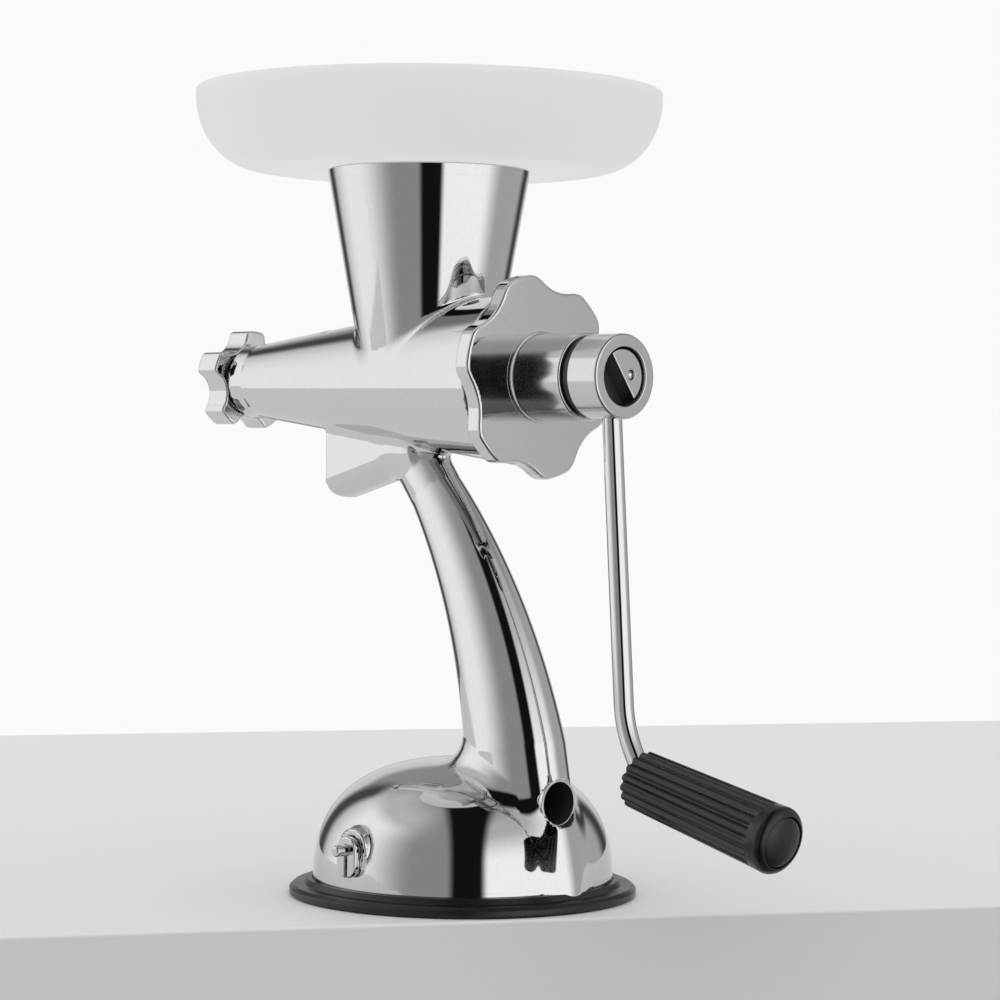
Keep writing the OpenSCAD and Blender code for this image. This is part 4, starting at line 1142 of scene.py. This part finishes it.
def lever_field(x, y, z):
    """Flat bar from a round hub, bored for the shaft."""
    h = z - CAM_Z
    along = h * math.sin(LEVER_REST) - x * math.cos(LEVER_REST)
    across = h * math.cos(LEVER_REST) + x * math.sin(LEVER_REST)
    bar = np.maximum(np.abs(across) - LEVER_W / 2, np.maximum(-along, along - LEVER_BAR))
    outline = join(np.hypot(x, h) - LEVER_HUB_R, bar, LEVER_FILLET)
    plate = keep(outline, np.abs(y - lever_y) - LEVER_T / 2, LEVER_EDGE)
    return cut(plate, np.hypot(x, h) - CAM_SHAFT_R - BORE_GAP, LEVER_BORE_EDGE)


lever_boxes = [(lever_low - CAST_ROOM, lever_high + CAST_ROOM)]
lever_mesh = cast(lever_field, lever_boxes, LEVER_STEP)
add_piece("suction_lever_bar", *lever_mesh, "lock", "polished_steel", ("suction_lever",))

# %% Lever tip
TIP_R, TIP_LEN, TIP_SIDES = 6.8, 22, 96
TIP_BACK_R, TIP_BROW_R, TIP_FACE_R = 0.83 * TIP_R, 0.9 * TIP_R, 0.6 * TIP_R
TIP_WIDEST, TIP_BROW = 0.9 * TIP_R, 0.35 * TIP_R
tip_profile = rounded([(POLE, LEVER_LEN - TIP_LEN, TINY), (TIP_BACK_R, LEVER_LEN - TIP_LEN, 0.8),
                       (TIP_R, LEVER_LEN - TIP_WIDEST, 4), (TIP_BROW_R, LEVER_LEN - TIP_BROW, 1.5),
                       (TIP_FACE_R, LEVER_LEN, 1.5), (POLE, LEVER_LEN, TINY)])
tip_way = (-math.cos(LEVER_REST), 0, math.sin(LEVER_REST))
tip_mesh = turned(tip_profile, (0, lever_y, CAM_Z), tip_way, TIP_SIDES)
add_piece("lever_tip_knob", *tip_mesh, "lock", "black_plastic", ("lever_tip",))

# %% [markdown]
# ## Finishes for the pieces that stay as they are
# The strainer, the auger, the cam and the other hidden pieces keep the CAD shape. Each takes the finish of
# its slot in the record.

# %% Finishes of the CAD nodes
for subpart in frame["record"]["subparts"]:
    node = frame["nodes"][subpart["node"]]
    node.data.materials.clear()
    node.data.materials.append(FINISH[subpart["material_slot"]])

# %% [markdown]
# ## The table
# The juicer stands at the front edge of a pale table. The table's edges run across the picture at a
# slant, and its far edge shows behind the neck.

# %% Table
TABLE_TURN = math.radians(60)
TABLE_NEAR, TABLE_FAR = -75.5, 710
TABLE_LEFT, TABLE_RIGHT = -1200, 1200
TABLE_DEEP = 160
TABLE_EDGE, TABLE_EDGE_STEPS = 1.2, 4
bpy.ops.mesh.primitive_cube_add(size=1)
table = bpy.context.object
table.name = "table"
table.scale = ((TABLE_RIGHT - TABLE_LEFT) * MM, (TABLE_FAR - TABLE_NEAR) * MM, TABLE_DEEP * MM)
bpy.ops.object.transform_apply(location=False, rotation=False, scale=True)
middle = Vector(((TABLE_RIGHT + TABLE_LEFT) / 2, (TABLE_FAR + TABLE_NEAR) / 2, -TABLE_DEEP / 2))
table.rotation_euler = (0, 0, TABLE_TURN)
table.location = Matrix.Rotation(TABLE_TURN, 3, "Z") @ middle * MM
soft_edge = table.modifiers.new("soft edge", "BEVEL")
soft_edge.width = TABLE_EDGE * MM
soft_edge.segments = TABLE_EDGE_STEPS
table_paint = finish(
    "pale table", (0.79, 0.79, 0.79), (0.81, 0.81, 0.81), metallic=0, rough=(0.5, 0.6),
    clouds=8, grains=900, stretch=1, relief=0.05, relief_mm=0.02)
table.data.materials.append(table_paint)
print("table", [round(length / MM) for length in table.dimensions], "mm")

# %% [markdown]
# ## The room in the mirror
# Polished steel has no look of its own: it shows the room. The camera sees plain white, while reflections
# see a studio of soft panels and dark gaps, each given by its direction from the juicer and its size.
# Angles across start at the camera and grow to the right of the picture; angles up start at the horizon.

# %% Node arithmetic
def arithmetic(tree, operation, *values):
    """A math node on sockets or plain numbers."""
    node = tree.nodes.new("ShaderNodeMath")
    node.operation = operation
    for socket, value in zip(node.inputs, values):
        if isinstance(value, (int, float)):
            socket.default_value = value
        else:
            tree.links.new(value, socket)
    return node.outputs[0]


def soft_step(tree, value, edge, soft):
    """Smooth rise from 0 to 1 round an edge."""
    node = tree.nodes.new("ShaderNodeMapRange")
    node.interpolation_type = "SMOOTHSTEP"
    tree.links.new(value, node.inputs["Value"])
    tree.links.new(arithmetic(tree, "SUBTRACT", edge, soft), node.inputs["From Min"])
    tree.links.new(arithmetic(tree, "ADD", edge, soft), node.inputs["From Max"])
    return node.outputs["Result"]


print("helpers made:", arithmetic.__name__, "and", soft_step.__name__)

# %% Panel group
panel_group, panel_in, panel_out = new_group(
    "Panel", {"Base": 0.3, "Across": 0.0, "Up": 0.0, "Centre": 0.0, "Half": 0.3, "Low": -1.6, "High": 1.6,
              "Soft": 0.05, "Fade": 0.05, "Level": 1.0}, ["Value"])
given = panel_in.outputs


def on_panel(operation, *values):
    """A math node inside the group."""
    return arithmetic(panel_group, operation, *values)


aside = on_panel("WRAP", on_panel("SUBTRACT", given["Across"], given["Centre"]), math.pi, -math.pi)
past_sides = soft_step(panel_group, on_panel("ABSOLUTE", aside), given["Half"], given["Soft"])
above = soft_step(panel_group, given["Up"], given["Low"], given["Fade"])
beyond = soft_step(panel_group, given["Up"], given["High"], given["Fade"])
band = on_panel("SUBTRACT", above, beyond)
mask = on_panel("MULTIPLY", band, on_panel("SUBTRACT", 1.0, past_sides))
rest_of_base = on_panel("MULTIPLY", given["Base"], on_panel("SUBTRACT", 1.0, mask))
shown = on_panel("ADD", rest_of_base, on_panel("MULTIPLY", mask, given["Level"]))
panel_group.links.new(shown, panel_out.inputs["Value"])
print("node group:", panel_group.name)

# %% Studio
world = bpy.data.worlds.new("studio")
scene.world = world
world.use_nodes = True
world.cycles.sampling_method = "NONE"
sky = world.node_tree
sky.nodes.clear()
direction = sky.nodes.new("ShaderNodeSeparateXYZ")
sky.links.new(sky.nodes.new("ShaderNodeTexCoord").outputs["Generated"], direction.inputs["Vector"])
heading = arithmetic(sky, "ARCTAN2", direction.outputs["Y"], direction.outputs["X"])
across = arithmetic(sky, "ADD", heading, math.pi / 2 - CAMERA_AZIMUTH)
height = arithmetic(sky, "ARCSINE", direction.outputs["Z"])


def panel(base, across_at, half, low, high, soft, fade, level, aside_angle=across, up_angle=height):
    """One soft panel or gap laid over the room so far; angles in degrees."""
    node = add_group(sky, panel_group, Centre=math.radians(across_at), Half=math.radians(half),
                     Low=math.radians(low), High=math.radians(high), Soft=math.radians(soft),
                     Fade=math.radians(fade), Level=level)
    if isinstance(base, (int, float)):
        node.inputs["Base"].default_value = base
    else:
        sky.links.new(base, node.inputs["Base"])
    sky.links.new(aside_angle, node.inputs["Across"])
    sky.links.new(up_angle, node.inputs["Up"])
    return node.outputs["Value"]


print("angles across start at", round(math.degrees(CAMERA_AZIMUTH), 1), "degrees")

# %% [markdown]
# The dark gap between the two big lights runs from the floor, past the camera and over the top. A strip
# like that keeps its width overhead only when it is measured sideways, so it has angles of its own:
# *sideways* from the strip's middle line, and *over* along it.

# %% Angles of the strip
toward = arithmetic(sky, "MULTIPLY", arithmetic(sky, "COSINE", across), arithmetic(sky, "COSINE", height))
rightward = arithmetic(sky, "MULTIPLY", arithmetic(sky, "SINE", across), arithmetic(sky, "COSINE", height))
sideways = arithmetic(sky, "ARCSINE", rightward)
over = arithmetic(sky, "ARCTAN2", direction.outputs["Z"], toward)
print("nodes for the angles:", len(sky.nodes))

# %% [markdown]
# Each row below is a light or a gap: where its middle lies across, half its width, its lower and its upper
# edge, how soft its sides and its other two edges are, all in degrees, and its level. A later row lies
# over the earlier ones.

# %% Lights and gaps of the studio
WALLS = 0.26
PANELS = {
    "floor shade": (0, 200, -95, -32, 5, 8, 0.12),
    "left floor": (-115, 50, -95, -14, 15, 5, 0.5),
    "left glow": (-95, 50, 42, 70, 25, 14, 0.5),
    "left light": (-98, 34, -22, 46, 26, 7, 0.88),
    "back light": (180, 27, 0, 24, 6, 5, 0.55),
    "left gap": (-147, 8.5, -30, 42, 6, 5, 0.06),
    "right wall": (112, 30, -25, 36, 8, 8, 0.38),
    "right gap": (146, 9, -60, 35, 8, 6, 0.05),
    "key glow": (55, 38, 20, 66, 12, 14, 0.45),
    "key light": (44, 38, -30, 32, 14, 17, 0.97),
}
STRIP = (3.5, 12.8, -70, 100, 3.5, 6, 0.006)
room = WALLS
for place in PANELS.values():
    room = panel(room, *place)
room = panel(room, *STRIP, sideways, over)
print("studio:", ", ".join(PANELS), "and the strip")

# %% [markdown]
# ## The white backdrop
# The camera sees a plain white backdrop. Matt surfaces gather light from all round, so they get an even
# level from above and less from below, where the floor lies in the table's shade. Mirrors show the panels
# one by one, and a studio's lamps are brighter than its white walls, so reflections see them with a gain.

# %% White backdrop
CAMERA_WHITE = 0.955
PANEL_GAIN = 1.35
FILL_ABOVE, FILL_BELOW = 1.0, 0.3
FILL_SOFT = math.radians(15)
ray = sky.nodes.new("ShaderNodeLightPath").outputs
above_floor = soft_step(sky, height, 0.0, FILL_SOFT)
fill = arithmetic(sky, "MULTIPLY_ADD", above_floor, FILL_ABOVE - FILL_BELOW, FILL_BELOW)
reflected = sky.nodes.new("ShaderNodeMix")
sky.links.new(ray["Is Diffuse Ray"], reflected.inputs["Factor"])
sky.links.new(arithmetic(sky, "MULTIPLY", room, PANEL_GAIN), reflected.inputs["A"])
sky.links.new(fill, reflected.inputs["B"])
seen = sky.nodes.new("ShaderNodeMix")
sky.links.new(ray["Is Camera Ray"], seen.inputs["Factor"])
sky.links.new(reflected.outputs["Result"], seen.inputs["A"])
seen.inputs["B"].default_value = CAMERA_WHITE
backdrop = sky.nodes.new("ShaderNodeBackground")
sky.links.new(seen.outputs["Result"], backdrop.inputs["Color"])
sky.links.new(backdrop.outputs["Background"], sky.nodes.new("ShaderNodeOutputWorld").inputs["Surface"])
print("studio nodes:", len(sky.nodes))

# %% [markdown]
# ## Render settings
# The Standard view keeps the white of the backdrop white. Eight bounces let the mirror surfaces show each
# other and carry light into the tray.

# %% Render settings
ALL_BOUNCES, EACH_BOUNCES = 12, 8
scene.cycles.max_bounces = ALL_BOUNCES
scene.cycles.glossy_bounces = EACH_BOUNCES
scene.cycles.diffuse_bounces = EACH_BOUNCES
scene.view_settings.view_transform = "Standard"
print("bounces:", EACH_BOUNCES, "of a kind and", ALL_BOUNCES, "in all")
